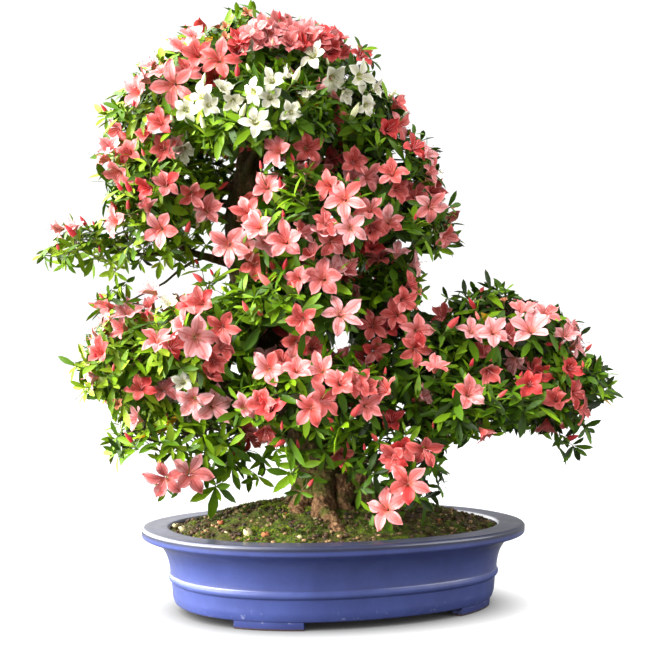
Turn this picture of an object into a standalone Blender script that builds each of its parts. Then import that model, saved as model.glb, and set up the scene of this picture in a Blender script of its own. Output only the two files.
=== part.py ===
"""Satsuki azalea bonsai in an oval glazed pot.

The plant is laid out as it is seen from its front: X to the right, Y away from the viewer, Z up,
in metres, with the middle of the pot over X = Y = 0 and the table at Z = 0. At the end everything
hangs from one empty, which turns the pot's long side along X and puts the origin under the middle
of the whole plant.
"""
import math
import random

import bmesh
import bpy
from mathutils import Matrix, Vector

# Pot
POT_HALF_LENGTH = 0.200
POT_HALF_DEPTH = 0.1605
POT_OVAL = 2.19  # exponent of the oval: 2 is an ellipse, more is squarer
POT_HEIGHT = 0.084
POT_TURN = math.radians(24.7)  # the pot's long side against the plant's front
RIM_WIDTH = 0.0265
POT_FLOOR = 0.016
FOOT_HEIGHT = 0.0076
FOOT_WIDTH = 0.011
FOOT_ANGLES = (math.radians(33.3), math.radians(61.1))  # along a quarter of the oval

# Soil and trunk
GAP = 0.0003  # clearance between neighbouring pieces
SOIL_EDGE = 0.079
GROUND = 0.1025  # height of the flat cut under the trunk
SOIL_INSET = 0.0018  # the soil's edge inside the rim's inner edge
MOUND_TOP = (-0.008, 0.004)
MOUND_PLATEAU = (0.066, 0.058)
MOUND_RINGS = (0.34, 0.68, 1.0)  # from the soil's edge to the plateau
MOUND_START = 0.15  # share of the mound's rise already reached at the soil's edge
TRUNK_TOP = 0.520
TRUNK_SIDES = 16
TRUNK_FOOT_HEIGHTS = (GROUND, 0.108, 0.116, 0.128, 0.147, 0.172)  # close together in the flare
TRUNK_STEPS = 9  # even steps from there to the top
TRUNK_COURSE = (  # height, sideways, depth, radius
    (GROUND, -0.008, 0.002, 0.0300),
    (0.125, -0.011, 0.002, 0.0265),
    (0.165, -0.024, 0.002, 0.0245),
    (0.265, -0.067, 0.004, 0.0200),
    (0.335, -0.090, 0.006, 0.0180),
    (0.400, -0.097, 0.006, 0.0160),
    (0.460, -0.088, 0.004, 0.0125),
    (TRUNK_TOP, -0.080, 0.002, 0.0060),
)
FLARE_HEIGHT = 0.020  # the roots' swelling fades over this height
ROOTS = (  # bearing in degrees from the right, reach beyond the trunk, half spread in degrees
    (-76, 0.026, 17),
    (-148, 0.014, 24),
    (172, 0.016, 20),
    (-18, 0.013, 20),
    (38, 0.018, 20),
    (92, 0.020, 18),
    (132, 0.013, 18),
)

# Foliage: middle of each pad, then its reach sideways, in depth, upwards and downwards
PADS = {
    "crown_apex": ((-0.083, 0.000, 0.558), (0.095, 0.088, 0.058, 0.043)),
    "crown_left": ((-0.163, -0.005, 0.504), (0.070, 0.078, 0.060, 0.046)),
    "crown_right": ((0.002, 0.000, 0.505), (0.068, 0.080, 0.060, 0.047)),
    "crown_front": ((-0.072, -0.085, 0.489), (0.078, 0.052, 0.049, 0.039)),
    "crown_back": ((-0.085, 0.088, 0.520), (0.104, 0.058, 0.060, 0.049)),
    "left_upper": ((-0.178, -0.030, 0.424), (0.063, 0.062, 0.046, 0.038)),
    "left_back": ((-0.169, 0.075, 0.435), (0.074, 0.052, 0.052, 0.046)),
    "right_upper": ((0.051, 0.000, 0.448), (0.060, 0.078, 0.047, 0.041)),
    "right_middle": ((0.066, -0.005, 0.380), (0.060, 0.078, 0.043, 0.046)),
    "front_middle": ((-0.026, -0.088, 0.384), (0.070, 0.048, 0.053, 0.051)),
    "back_middle": ((-0.033, 0.092, 0.404), (0.093, 0.052, 0.064, 0.060)),
    "left_tip": ((-0.269, -0.020, 0.371), (0.043, 0.036, 0.022, 0.029)),
    "left_long": ((-0.187, -0.025, 0.374), (0.053, 0.048, 0.033, 0.030)),
    "left_hanging": ((-0.217, -0.025, 0.307), (0.028, 0.026, 0.016, 0.019)),
    "centre_front": ((-0.045, -0.085, 0.304), (0.073, 0.052, 0.041, 0.041)),
    "centre_right": ((0.054, -0.010, 0.311), (0.053, 0.072, 0.041, 0.045)),
    "centre_back": ((-0.038, 0.090, 0.300), (0.101, 0.052, 0.053, 0.053)),
    "low_left_top": ((-0.128, -0.045, 0.267), (0.076, 0.066, 0.057, 0.048)),
    "low_left_tip": ((-0.211, -0.015, 0.236), (0.057, 0.062, 0.061, 0.059)),
    "low_left_under": ((-0.160, -0.030, 0.171), (0.077, 0.052, 0.038, 0.051)),
    "low_left_back": ((-0.163, 0.072, 0.229), (0.096, 0.052, 0.072, 0.065)),
    "front_low": ((-0.021, -0.092, 0.216), (0.083, 0.052, 0.045, 0.056)),
    "front_foot": ((0.057, -0.085, 0.154), (0.055, 0.044, 0.045, 0.060)),
    "right_inner": ((0.080, -0.025, 0.240), (0.069, 0.066, 0.061, 0.055)),
    "right_top": ((0.175, 0.000, 0.283), (0.078, 0.062, 0.049, 0.046)),
    "right_tip": ((0.234, -0.008, 0.219), (0.053, 0.058, 0.049, 0.056)),
    "right_front": ((0.144, -0.068, 0.203), (0.069, 0.046, 0.044, 0.039)),
    "right_back": ((0.170, 0.072, 0.231), (0.100, 0.048, 0.065, 0.059)),
}
AIRY_PADS = ("left_tip", "left_long", "left_hanging", "low_left_under", "front_foot")

# Boughs: the limb each leaves, where on it (a height on the trunk, else a share of the length),
# the radius at its root, and how far its middle rises above the straight line
BOUGHS = {
    "crown_left": ("trunk", 0.462, 0.0060, 0.006),
    "crown_right": ("trunk", 0.470, 0.0060, 0.004),
    "crown_front": ("trunk", 0.440, 0.0055, -0.004),
    "crown_back": ("trunk", 0.484, 0.0055, 0.004),
    "left_upper": ("trunk", 0.424, 0.0065, 0.008),
    "left_back": ("trunk", 0.404, 0.0060, 0.004),
    "right_upper": ("trunk", 0.398, 0.0070, 0.006),
    "right_middle": ("trunk", 0.338, 0.0070, 0.006),
    "front_middle": ("trunk", 0.362, 0.0060, -0.004),
    "back_middle": ("trunk", 0.374, 0.0065, 0.004),
    "left_long": ("trunk", 0.352, 0.0060, -0.004),
    "left_tip": ("left_long", 0.86, 0.0030, -0.003),
    "left_hanging": ("left_long", 0.62, 0.0026, 0.002),
    "centre_front": ("trunk", 0.280, 0.0060, -0.003),
    "centre_right": ("trunk", 0.286, 0.0065, 0.004),
    "centre_back": ("trunk", 0.262, 0.0070, 0.004),
    "low_left_top": ("trunk", 0.232, 0.0075, 0.004),
    "low_left_tip": ("trunk", 0.200, 0.0085, 0.008),
    "low_left_under": ("low_left_tip", 0.40, 0.0045, 0.002),
    "low_left_back": ("trunk", 0.214, 0.0070, 0.004),
    "front_low": ("trunk", 0.190, 0.0065, -0.003),
    "front_foot": ("trunk", 0.150, 0.0060, -0.002),
    "right_inner": ("trunk", 0.208, 0.0080, 0.004),
    "right_tip": ("trunk", 0.160, 0.0095, 0.008),
    "right_top": ("right_tip", 0.52, 0.0055, 0.003),
    "right_front": ("right_tip", 0.36, 0.0050, -0.002),
    "right_back": ("right_tip", 0.44, 0.0055, 0.002),
}
BOUGH_ENTRY = 0.62  # how far from a pad's middle its bough ends, against the pad's reach
ENTRY_LIMIT = 0.8  # and it goes no further out than this share of its run
BOUGH_TAPER = 0.52  # radius at the tip against the radius at the root
BOUGH_RINGS = 5
BOUGH_SIDES = 6
SEAT_GAP = 1.2 * GAP  # clearance between a bough and the bough it leaves

# Twigs, leaves and blossom
CORE_SHARE = 0.54  # radius of a dense pad's core against its reach
CORE_ROUGHNESS = 0.14
CORE_CLEAR = 0.66  # leaves keep out of the pad's middle up to this share of its reach
CORE_DRAW_IN = 0.86
CORE_PASSES = 8
CORE_SPARE = 0.002  # extra room that a core leaves round limbs
STEM_RADIUS = 0.0024
STEM_RUN = 0.006  # the stem runs straight on from its bough this far
STEM_TAPER = 0.7
TWIG_RADIUS = 0.0013
TWIG_ROOTS = (0.45, 0.95)  # where twigs leave the stem, along it
TWIG_BEND = 0.55  # place of a twig's bend along it
TWIG_ARCH = 0.004  # how far the bend stands above the straight line
TWIG_SIDES = 3
TIP_SHARE = 0.82  # how far out the twigs' tips lie within the reach
TIP_NEAREST = 0.40  # a tip that would have to lie nearer than this is left out
UPWARD_PULL = 0.45  # shoots turn up this much from straight out
LOWEST_TIP = -0.30  # sine of the lowest direction in which twigs run out
TIP_TRIES = 64
TIP_STEP = 0.03  # a tip that doesn't fit is drawn in by this share at a time
TIP_SPACING = 0.052
LEAF_LENGTH = 0.041
LEAF_SHORTEST = 0.016
LEAF_STEP = 0.85  # a leaf that doesn't fit is shortened by this factor at a time
ROOMY_PAD = 0.055  # pads smaller than this have shorter leaves
SMALL_PAD = 0.6  # and their scale goes no lower than this
LEAF_WIDTH = 0.0150
LEAF_THICKNESS = 0.0030  # at the middle of a whorl, falling to nothing at the leaves' tips
LEAF_LIFT = (0.10, 0.60)  # rise of the leaves against their reach outwards
LEAVES_PER_WHORL = 5
WHORL_EYE = 0.0032
TIP_ROOM = (0.8, 0.4)  # free room that a tip needs, sideways and outwards, in shortest leaves
PETALS = 5
PETAL_LENGTH = 0.0250
NECK_RADIUS = 0.0018
BLOOM_RISE = 0.0130
BLOOM_THROAT = 0.0060
BLOOM_NOTCH = 0.42  # reach of the notch between two petals against a petal's
BLOOM_SIZES = (1.0, 0.85, 0.7, 0.55)
BLOOM_SHARE = 0.60
DEPTH_SCALE = 1.5  # pads are this much flatter than round
SEED = 300
GOLDEN_ANGLE = math.pi * (3.0 - math.sqrt(5.0))

POT_BLUE = (0.105, 0.120, 0.420)
MOSS = (0.075, 0.095, 0.020)
TRUNK_BARK = (0.110, 0.085, 0.060)
BOUGH_BARK = (0.090, 0.060, 0.045)
LEAF_GREEN = (0.100, 0.260, 0.030)


def clear_scene():
    for thing in list(bpy.data.objects):
        bpy.data.objects.remove(thing, do_unlink=True)


def material(name, colour, roughness):
    made = bpy.data.materials.new(name)
    made.use_nodes = True
    shader = made.node_tree.nodes["Principled BSDF"]
    shader.inputs["Base Color"].default_value = (*colour, 1.0)
    shader.inputs["Roughness"].default_value = roughness
    shader.inputs["Metallic"].default_value = 0.0
    return made


def solid_object(name, vertices, faces, finish=None):
    """One closed solid as an object, with its faces pointing out."""
    mesh = bpy.data.meshes.new(name)
    mesh.from_pydata([tuple(v) for v in vertices], [], faces)
    shaped = bmesh.new()
    shaped.from_mesh(mesh)
    bmesh.ops.recalc_face_normals(shaped, faces=shaped.faces)
    shaped.to_mesh(mesh)
    shaped.free()
    made = bpy.data.objects.new(name, mesh)
    bpy.context.scene.collection.objects.link(made)
    if finish:
        mesh.materials.append(finish)
    return made


def band_faces(rings, count):
    """Quads between neighbouring rings of count points, and a cap on each end."""
    faces = []
    for ring in range(rings - 1):
        for i in range(count):
            j = (i + 1) % count
            low = ring * count
            faces.append((low + i, low + j, low + count + j, low + count + i))
    faces.append(tuple(reversed(range(count))))
    faces.append(tuple(range((rings - 1) * count, rings * count)))
    return faces


def smooth_step(x):
    x = min(max(x, 0.0), 1.0)
    return x * x * (3.0 - 2.0 * x)


# Pot and soil

def oval_angles():
    """Stations round the oval, with one on each end of every foot."""
    start, end = FOOT_ANGLES
    stops = ((0.0, start, 3), (start, end, 3), (end, math.pi / 2, 2))
    quarter = [a + (b - a) * i / n for a, b, n in stops for i in range(n)]
    half = quarter + [math.pi / 2] + [math.pi - a for a in reversed(quarter[1:])]
    return half + [a + math.pi for a in half]


def oval_point(angle, inset, height):
    """A point of the pot's oval, this far inside the rim's outline, turned as the pot stands."""
    power = 2.0 / POT_OVAL
    along = math.copysign(abs(math.cos(angle)) ** power, math.cos(angle))
    across = math.copysign(abs(math.sin(angle)) ** power, math.sin(angle))
    flat = Vector(((POT_HALF_LENGTH - inset) * along, (POT_HALF_DEPTH - inset) * across, height))
    return Matrix.Rotation(POT_TURN, 3, "Z") @ flat


def pot_profile():
    """Inset from the rim's outline and height, from the foot ring up, over the rim and inside."""
    outside = [
        (0.0335, FOOT_HEIGHT),
        (0.0308, 0.0200),
        (0.0298, 0.0300),
        (0.0274, 0.0322),
        (0.0272, 0.0360),
        (0.0283, 0.0384),
        (0.0262, 0.0520),
        (0.0200, 0.0655),
        (0.0030, 0.0738),
        (0.0000, 0.0785),
        (0.0014, POT_HEIGHT),
    ]
    inside = [
        (RIM_WIDTH, POT_HEIGHT),
        (RIM_WIDTH + 0.0024, 0.0740),
        (RIM_WIDTH + 0.0105, 0.0300),
        (RIM_WIDTH + 0.0230, POT_FLOOR),
    ]
    return outside, inside


def make_pot(finish):
    outside, inside = pot_profile()
    foot_outer = outside[0][0] + 0.001
    under = [(foot_outer + FOOT_WIDTH, FOOT_HEIGHT), (foot_outer, FOOT_HEIGHT)]
    profile = under + outside + inside
    angles = oval_angles()
    count = len(angles)
    points = [oval_point(a, inset, z) for inset, z in profile for a in angles]
    shaped = bmesh.new()
    verts = [shaped.verts.new(p) for p in points]
    for face in band_faces(len(profile), count):
        shaped.faces.new([verts[i] for i in face])
    shaped.faces.ensure_lookup_table()
    start, end = FOOT_ANGLES
    feet = []
    for i in range(count):
        middle = (angles[i] + (angles[(i + 1) % count] - angles[i]) % (2 * math.pi) / 2) % math.pi
        if start < min(middle, math.pi - middle) < end:
            feet.append(shaped.faces[i])
    bmesh.ops.recalc_face_normals(shaped, faces=shaped.faces)
    grown = bmesh.ops.extrude_face_region(shaped, geom=feet)
    moved = [item for item in grown["geom"] if isinstance(item, bmesh.types.BMVert)]
    bmesh.ops.translate(shaped, verts=moved, vec=(0.0, 0.0, -FOOT_HEIGHT))
    bmesh.ops.delete(shaped, geom=[f for f in feet if f.is_valid], context="FACES_ONLY")
    bmesh.ops.delete(shaped, geom=[e for e in shaped.edges if not e.link_faces], context="EDGES")
    mesh = bpy.data.meshes.new("pot")
    bmesh.ops.recalc_face_normals(shaped, faces=shaped.faces)
    shaped.to_mesh(mesh)
    shaped.free()
    mesh.materials.append(finish)
    made = bpy.data.objects.new("pot", mesh)
    bpy.context.scene.collection.objects.link(made)
    return made


def make_soil(finish):
    """The filling of the pot, rising in a mound to a level spot under the trunk."""
    angles = oval_angles()
    inside = pot_profile()[1]
    wall = [(inset + 2 * GAP, z + GAP) for inset, z in reversed(inside[1:])]
    wall.append((RIM_WIDTH + SOIL_INSET, SOIL_EDGE))
    rings = [[oval_point(a, inset, z) for a in angles] for inset, z in wall]
    edge = rings[-1]
    mound_x, mound_y = MOUND_TOP
    for share in MOUND_RINGS:
        rise = smooth_step(MOUND_START + (1 - MOUND_START) * share)
        ring = []
        for angle, outer in zip(angles, edge):
            bearing = angle + POT_TURN
            inner = Vector((mound_x + MOUND_PLATEAU[0] * math.cos(bearing),
                            mound_y + MOUND_PLATEAU[1] * math.sin(bearing), 0.0))
            point = outer.lerp(inner, share)
            point.z = SOIL_EDGE + (GROUND - GAP - SOIL_EDGE) * rise
            ring.append(point)
        rings.append(ring)
    points = [p for ring in rings for p in ring]
    return solid_object("soil", points, band_faces(len(rings), len(angles)), finish)


# Limbs

class Limb:
    """A tapering limb: its centre line and the radius at each of its points."""

    def __init__(self, points, radii):
        self.points = [Vector(p) for p in points]
        self.radii = list(radii)

    def at(self, share):
        place = min(max(share, 0.0), 1.0) * (len(self.points) - 1)
        low = min(int(place), len(self.points) - 2)
        part = place - low
        return self.points[low].lerp(self.points[low + 1], part)

    def end_direction(self):
        return (self.points[-1] - self.points[-2]).normalized()

    def spans(self):
        for a, b, ra, rb in zip(self.points, self.points[1:], self.radii, self.radii[1:]):
            yield a, b, max(ra, rb)


def span_distance(a, b, c, d):
    """Least distance between the straight spans a to b and c to d."""
    u = b - a
    v = d - c
    w = a - c
    uu = u.dot(u)
    vv = max(v.dot(v), 1e-12)
    uv = u.dot(v)
    uw = u.dot(w)
    vw = v.dot(w)
    spread = uu * vv - uv * uv
    s = 0.0 if spread < 1e-14 else min(max((uv * vw - vv * uw) / spread, 0.0), 1.0)
    t = min(max((uv * s + vw) / vv, 0.0), 1.0)
    s = 0.0 if uu < 1e-12 else min(max((uv * t - uw) / uu, 0.0), 1.0)
    return ((a + u * s) - (c + v * t)).length


def is_clear(a, b, half_width, limbs):
    """Whether a span of this half width keeps the gap to every limb."""
    for limb in limbs:
        for c, d, radius in limb.spans():
            if span_distance(a, b, c, d) < radius + half_width + 2 * GAP:
                return False
    return True


def limb_rings(limb, sides, spare=0.0, level=False):
    """Rings round a limb's centre line, square to it, or level for the trunk."""
    rings = []
    side = Vector((0.0, 0.0, 0.0))
    last = len(limb.points) - 1
    for i, (point, radius) in enumerate(zip(limb.points, limb.radii)):
        along = (limb.points[min(i + 1, last)] - limb.points[max(i - 1, 0)]).normalized()
        if level:
            along = Vector((0.0, 0.0, 1.0))
        if side.length < 0.5:
            helper = Vector((1.0, 0.0, 0.0)) if abs(along.z) > 0.8 else Vector((0.0, 0.0, 1.0))
            side = along.cross(helper).normalized()
        side = (side - along * side.dot(along)).normalized()
        other = along.cross(side)
        ring = []
        for k in range(sides):
            turn = 2 * math.pi * k / sides
            ring.append(point + (side * math.cos(turn) + other * math.sin(turn)) * (radius + spare))
        rings.append(ring)
    return rings


def trunk_centre(height):
    """Centre and radius of the trunk at this height, on a smooth curve through its course."""
    course = TRUNK_COURSE
    low = 0
    while low < len(course) - 2 and height > course[low + 1][0]:
        low += 1
    before = course[max(low - 1, 0)]
    start, end = course[low], course[low + 1]
    after = course[min(low + 2, len(course) - 1)]
    share = (height - start[0]) / (end[0] - start[0])
    span = end[0] - start[0]
    values = []
    for k in (1, 2, 3):
        slope_in = (end[k] - before[k]) / max(end[0] - before[0], 1e-6) * span
        slope_out = (after[k] - start[k]) / max(after[0] - start[0], 1e-6) * span
        t, tt, ttt = share, share ** 2, share ** 3
        values.append((2 * ttt - 3 * tt + 1) * start[k] + (ttt - 2 * tt + t) * slope_in
                      + (3 * tt - 2 * ttt) * end[k] + (ttt - tt) * slope_out)
    return Vector((values[0], values[1], height)), values[2]


def root_swelling(bearing, height):
    """How far the roots stand out from the trunk, by bearing in degrees and height."""
    fade = math.exp(-(height - GROUND) / FLARE_HEIGHT)
    swelling = 0.0
    for root_bearing, reach, spread in ROOTS:
        off = (bearing - root_bearing + 180) % 360 - 180
        swelling += reach * math.exp(-(off / spread) ** 2)
    return swelling * fade


def trunk_limb():
    foot = TRUNK_FOOT_HEIGHTS[-1]
    heights = list(TRUNK_FOOT_HEIGHTS)
    heights += [foot + (TRUNK_TOP - foot) * (i + 1) / TRUNK_STEPS for i in range(TRUNK_STEPS)]
    centres = [trunk_centre(z) for z in heights]
    return Limb([c for c, _ in centres], [r for _, r in centres])


def trunk_mesh(limb, spare):
    """Points and faces of the trunk with its root flare."""
    points = []
    for point, radius in zip(limb.points, limb.radii):
        for k in range(TRUNK_SIDES):
            turn = 360.0 * k / TRUNK_SIDES
            reach = radius + spare + root_swelling(turn, point.z)
            offset = Vector((math.cos(math.radians(turn)), math.sin(math.radians(turn)), 0.0))
            points.append(point + offset * reach)
    return points, band_faces(len(limb.points), TRUNK_SIDES)


def pad_entry(name, towards):
    """Where a limb that comes from here enters a pad, just outside its core."""
    centre = Vector(PADS[name][0])
    way = Vector(towards) - centre
    return centre + way * min(BOUGH_ENTRY / reach_share(name, Vector(towards)), ENTRY_LIMIT)


def bough_limb(name, limbs):
    """The bough that carries a pad: from inside the limb it leaves to the edge of the pad's core."""
    parent_name, place, radius, rise = BOUGHS[name]
    if parent_name == "trunk":
        start = trunk_centre(place)[0]
    else:
        start = limbs[parent_name].at(place)
    end = pad_entry(name, start)
    middle = start.lerp(end, 0.5) + Vector((0.0, 0.0, rise * 2))
    points = []
    radii = []
    for i in range(BOUGH_RINGS):
        t = i / (BOUGH_RINGS - 1)
        points.append(start * (1 - t) ** 2 + middle * 2 * t * (1 - t) + end * t ** 2)
        radii.append(radius * (1 - (1 - BOUGH_TAPER) * t))
    return Limb(points, radii)


def cut_away(made, cutter):
    """Take the cutter's space out of an object."""
    cutter.hide_render = True
    cutter.display_type = "WIRE"
    cut = made.modifiers.new("seat", "BOOLEAN")
    cut.operation = "DIFFERENCE"
    cut.object = cutter
    apply_modifiers(made)


def apply_modifiers(made):
    depsgraph = bpy.context.evaluated_depsgraph_get()
    mesh = bpy.data.meshes.new_from_object(made.evaluated_get(depsgraph))
    made.modifiers.clear()
    made.data = mesh


def keep_largest_body(made):
    """Drop loose scraps and the skins of sealed hollows."""
    shaped = bmesh.new()
    shaped.from_mesh(made.data)
    bmesh.ops.remove_doubles(shaped, verts=shaped.verts, dist=1e-6)
    bmesh.ops.triangulate(shaped, faces=shaped.faces)
    unseen = set(shaped.faces)
    bodies = []
    while unseen:
        stack = [unseen.pop()]
        body = set(stack)
        while stack:
            for edge in stack.pop().edges:
                for face in edge.link_faces if len(edge.link_faces) == 2 else ():
                    if face in unseen:
                        unseen.discard(face)
                        body.add(face)
                        stack.append(face)
        bodies.append(body)
    bodies.sort(key=len)
    scraps = [face for body in bodies[:-1] for face in body]
    bmesh.ops.delete(shaped, geom=scraps, context="FACES")
    shaped.to_mesh(made.data)
    shaped.free()


# Foliage

def pad_weight(name):
    side, depth, up, down = PADS[name][1]
    return (side + depth + DEPTH_SCALE * (up + down) / 2) / 3


def pad_scale(name):
    return min(max(pad_weight(name) / ROOMY_PAD, SMALL_PAD), 1.0)


def own_space(name):
    """The flat borders of a pad's space: for each neighbour a normal and how far along it goes."""
    scale = Vector((1.0, 1.0, DEPTH_SCALE))
    centre = Vector(PADS[name][0]) * scale
    weight = pad_weight(name)
    borders = []
    for other, (place, _) in PADS.items():
        if other == name:
            continue
        away = Vector(place) * scale - centre
        span = away.length
        share = 0.5 + (weight ** 2 - pad_weight(other) ** 2) / (2 * span ** 2)
        normal = away / span
        limit = normal.dot(centre) + span * share - 3 * GAP
        borders.append((normal * scale, limit))
    return borders


def reach_share(name, point):
    """How far out a point lies in a pad, against the pad's reach in that direction."""
    centre, (side, depth, up, down) = PADS[name]
    way = point - Vector(centre)
    return Vector((way.x / side, way.y / depth, way.z / (up if way.z > 0 else down))).length


def is_inside(points, borders):
    return all(normal.dot(p) <= limit for normal, limit in borders for p in points)


class Shell:
    """Points and faces of one closed solid, put together ring by ring."""

    def __init__(self):
        self.points = []
        self.faces = []

    def add_ring(self, points):
        first = len(self.points)
        self.points += points
        return list(range(first, len(self.points)))

    def zip_rings(self, ring, angles, other, other_angles):
        """Triangles between two rings that run round the same axis, by their points' angles."""
        full = 2 * math.pi
        i = j = 0
        while i < len(ring) or j < len(other):
            next_one = angles[(i + 1) % len(ring)] + full * ((i + 1) // len(ring))
            next_other = other_angles[(j + 1) % len(other)] + full * ((j + 1) // len(other))
            here = ring[i % len(ring)]
            there = other[j % len(other)]
            if j == len(other) or (i < len(ring) and next_one <= next_other):
                self.faces.append((here, ring[(i + 1) % len(ring)], there))
                i += 1
            else:
                self.faces.append((here, other[(j + 1) % len(other)], there))
                j += 1

    def close(self, ring, point):
        middle = self.add_ring([point])[0]
        for i, here in enumerate(ring):
            self.faces.append((here, ring[(i + 1) % len(ring)], middle))


def leaf_whorl(place, first, second, axis, longest, rng, fits):
    """Rim of the leaves round a twig's tip, each shortened until it fits, or left out."""
    turn = rng.uniform(0, 2 * math.pi / LEAVES_PER_WHORL)
    rim = []
    angles = []
    kept = 0
    for k in range(LEAVES_PER_WHORL):
        angle = turn + 2 * math.pi * k / LEAVES_PER_WHORL + rng.uniform(-0.15, 0.15)
        out = first * math.cos(angle) + second * math.sin(angle)
        aside = second * math.cos(angle) - first * math.sin(angle)
        way = (out + axis * rng.uniform(*LEAF_LIFT)).normalized()
        length = longest * rng.uniform(0.85, 1.1)
        half = LEAF_WIDTH / 2 * longest / LEAF_LENGTH
        spread = math.atan2(half, length * way.dot(out) * 0.5)
        while length > LEAF_SHORTEST:
            middle = place + way * length * 0.5
            leaf = [middle - aside * half, place + way * length, middle + aside * half]
            if fits(place, leaf[1], leaf, half):
                rim += leaf
                angles += [angle - spread, angle, angle + spread]
                kept += 1
                break
            length *= LEAF_STEP
        notch = turn + 2 * math.pi * (k + 0.5) / LEAVES_PER_WHORL
        rim.append(place + (first * math.cos(notch) + second * math.sin(notch)) * WHORL_EYE)
        angles.append(notch)
    return rim, angles, kept


def bloom_rim(place, first, second, axis, rng, fits):
    """Rim of a five-petalled funnel over a twig's tip, or nothing where it doesn't fit."""
    turn = rng.uniform(0, 2 * math.pi / PETALS)
    for size in BLOOM_SIZES:
        rim = []
        angles = []
        for k in range(2 * PETALS):
            angle = turn + math.pi * k / PETALS
            reach = PETAL_LENGTH * size * (1.0 if k % 2 == 0 else BLOOM_NOTCH)
            way = first * math.cos(angle) + second * math.sin(angle)
            rim.append(place + way * reach + axis * BLOOM_RISE)
            angles.append(angle)
        if all(fits(place, p, [p], TWIG_RADIUS) for p in rim):
            return rim, angles
    return None, None


def tip_solid(root, bend, tip, axis, longest, with_bloom, rng, fits):
    """A twig with its whorl of leaves and, on some, a bloom, as points and faces."""
    shell = Shell()
    limb = Limb((root, bend, tip), (TWIG_RADIUS, TWIG_RADIUS * 0.85, TWIG_RADIUS * 0.6))
    rings = limb_rings(limb, TWIG_SIDES)
    start = shell.add_ring(rings[0])
    middle = shell.add_ring(rings[1])
    side = rings[1][0] - bend
    first = (side - axis * side.dot(axis)).normalized()
    second = axis.cross(first)
    thirds = [2 * math.pi * k / TWIG_SIDES for k in range(TWIG_SIDES)]
    under = tip - axis * LEAF_THICKNESS / 2
    collar = shell.add_ring([under + (first * math.cos(a) + second * math.sin(a)) * TWIG_RADIUS * 0.7
                             for a in thirds])
    shell.faces.append(tuple(reversed(start)))
    shell.zip_rings(start, thirds, middle, thirds)
    shell.zip_rings(middle, thirds, collar, thirds)
    leaves, leaf_angles, kept = leaf_whorl(tip, first, second, axis, longest, rng, fits)
    if kept == 0:
        return None, None
    whorl = shell.add_ring(leaves)
    shell.zip_rings(collar, thirds, whorl, leaf_angles)
    petals, petal_angles = (None, None)
    if with_bloom:
        petals, petal_angles = bloom_rim(tip, first, second, axis, rng, fits)
    if petals:
        fifths = [2 * math.pi * k / PETALS for k in range(PETALS)]
        over = tip + axis * LEAF_THICKNESS / 2
        neck = shell.add_ring([over + (first * math.cos(a) + second * math.sin(a)) * NECK_RADIUS
                               for a in fifths])
        funnel = shell.add_ring(petals)
        shell.zip_rings(whorl, leaf_angles, neck, fifths)
        shell.zip_rings(neck, fifths, funnel, petal_angles)
        shell.close(funnel, tip + axis * BLOOM_THROAT)
    else:
        shell.close(whorl, tip + axis * LEAF_THICKNESS / 2)
    spans = [Limb((tip, p), (LEAF_THICKNESS,) * 2) for p in leaves + (petals or [])]
    spans.append(Limb((bend, tip), (TWIG_RADIUS,) * 2))
    return (shell.points, shell.faces), spans


def pad_tips(name, rng, fits):
    """Places and directions of a pad's twig tips, spread evenly over its dome where they fit."""
    centre, (side, depth, up, down) = PADS[name]
    centre = Vector(centre)
    spacing = TIP_SPACING * pad_scale(name)
    turn = rng.uniform(0, 2 * math.pi)
    tips = []
    for k in range(TIP_TRIES):
        z = 1 - (k + 0.35) / TIP_TRIES * (1 - LOWEST_TIP)
        flat = math.sqrt(1 - z * z)
        angle = turn + GOLDEN_ANGLE * k
        way = Vector((math.cos(angle) * flat, math.sin(angle) * flat, z))
        reach = Vector((way.x * side, way.y * depth, way.z * (up if z > 0 else down)))
        outward = Vector((way.x / side, way.y / depth, way.z / (up if z > 0 else down))).normalized()
        axis = (outward + Vector((0.0, 0.0, UPWARD_PULL))).normalized()
        share = TIP_SHARE
        while share > TIP_NEAREST and not fits(centre + reach * share, axis):
            share -= TIP_STEP
        tip = centre + reach * share
        apart = all((tip - other).length > spacing for other, _ in tips)
        if share > TIP_NEAREST and apart:
            tips.append((tip, axis))
    return tips


def core_object(name, rng, borders, limbs, pieces):
    """The small dense middle of a pad, drawn in wherever it would meet a neighbour or a limb."""
    centre, (side, depth, up, down) = PADS[name]
    centre = Vector(centre)
    shaped = bmesh.new()
    bmesh.ops.create_icosphere(shaped, subdivisions=2, radius=CORE_SHARE)
    for vert in shaped.verts:
        tall = up if vert.co.z > 0 else down
        bump = rng.uniform(1 - CORE_ROUGHNESS, 1 + CORE_ROUGHNESS)
        vert.co = Vector((vert.co.x * side, vert.co.y * depth, vert.co.z * tall)) * bump
    for _ in range(CORE_PASSES):
        too_far = set()
        for vert in shaped.verts:
            if not is_inside([centre + vert.co], borders):
                too_far.add(vert)
        for edge in shaped.edges:
            a, b = edge.verts
            if not is_clear(centre + a.co, centre + b.co, CORE_SPARE, limbs):
                too_far.update((a, b))
        if not too_far:
            break
        for vert in too_far:
            vert.co *= CORE_DRAW_IN
    if not too_far:
        for vert in shaped.verts:
            vert.co += centre
        mesh = bpy.data.meshes.new("core")
        shaped.to_mesh(mesh)
        pieces.objects.link(bpy.data.objects.new("core", mesh))
    shaped.free()


def stem_limb(name, carrier):
    """The stem of a pad, from just off the tip of its carrier to the pad's middle."""
    way = carrier.end_direction()
    start = carrier.points[-1] + way * GAP
    radius = min(STEM_RADIUS, carrier.radii[-1])
    points = (start, start + way * STEM_RUN, PADS[name][0])
    return Limb(points, (radius, radius, radius * STEM_TAPER))


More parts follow.
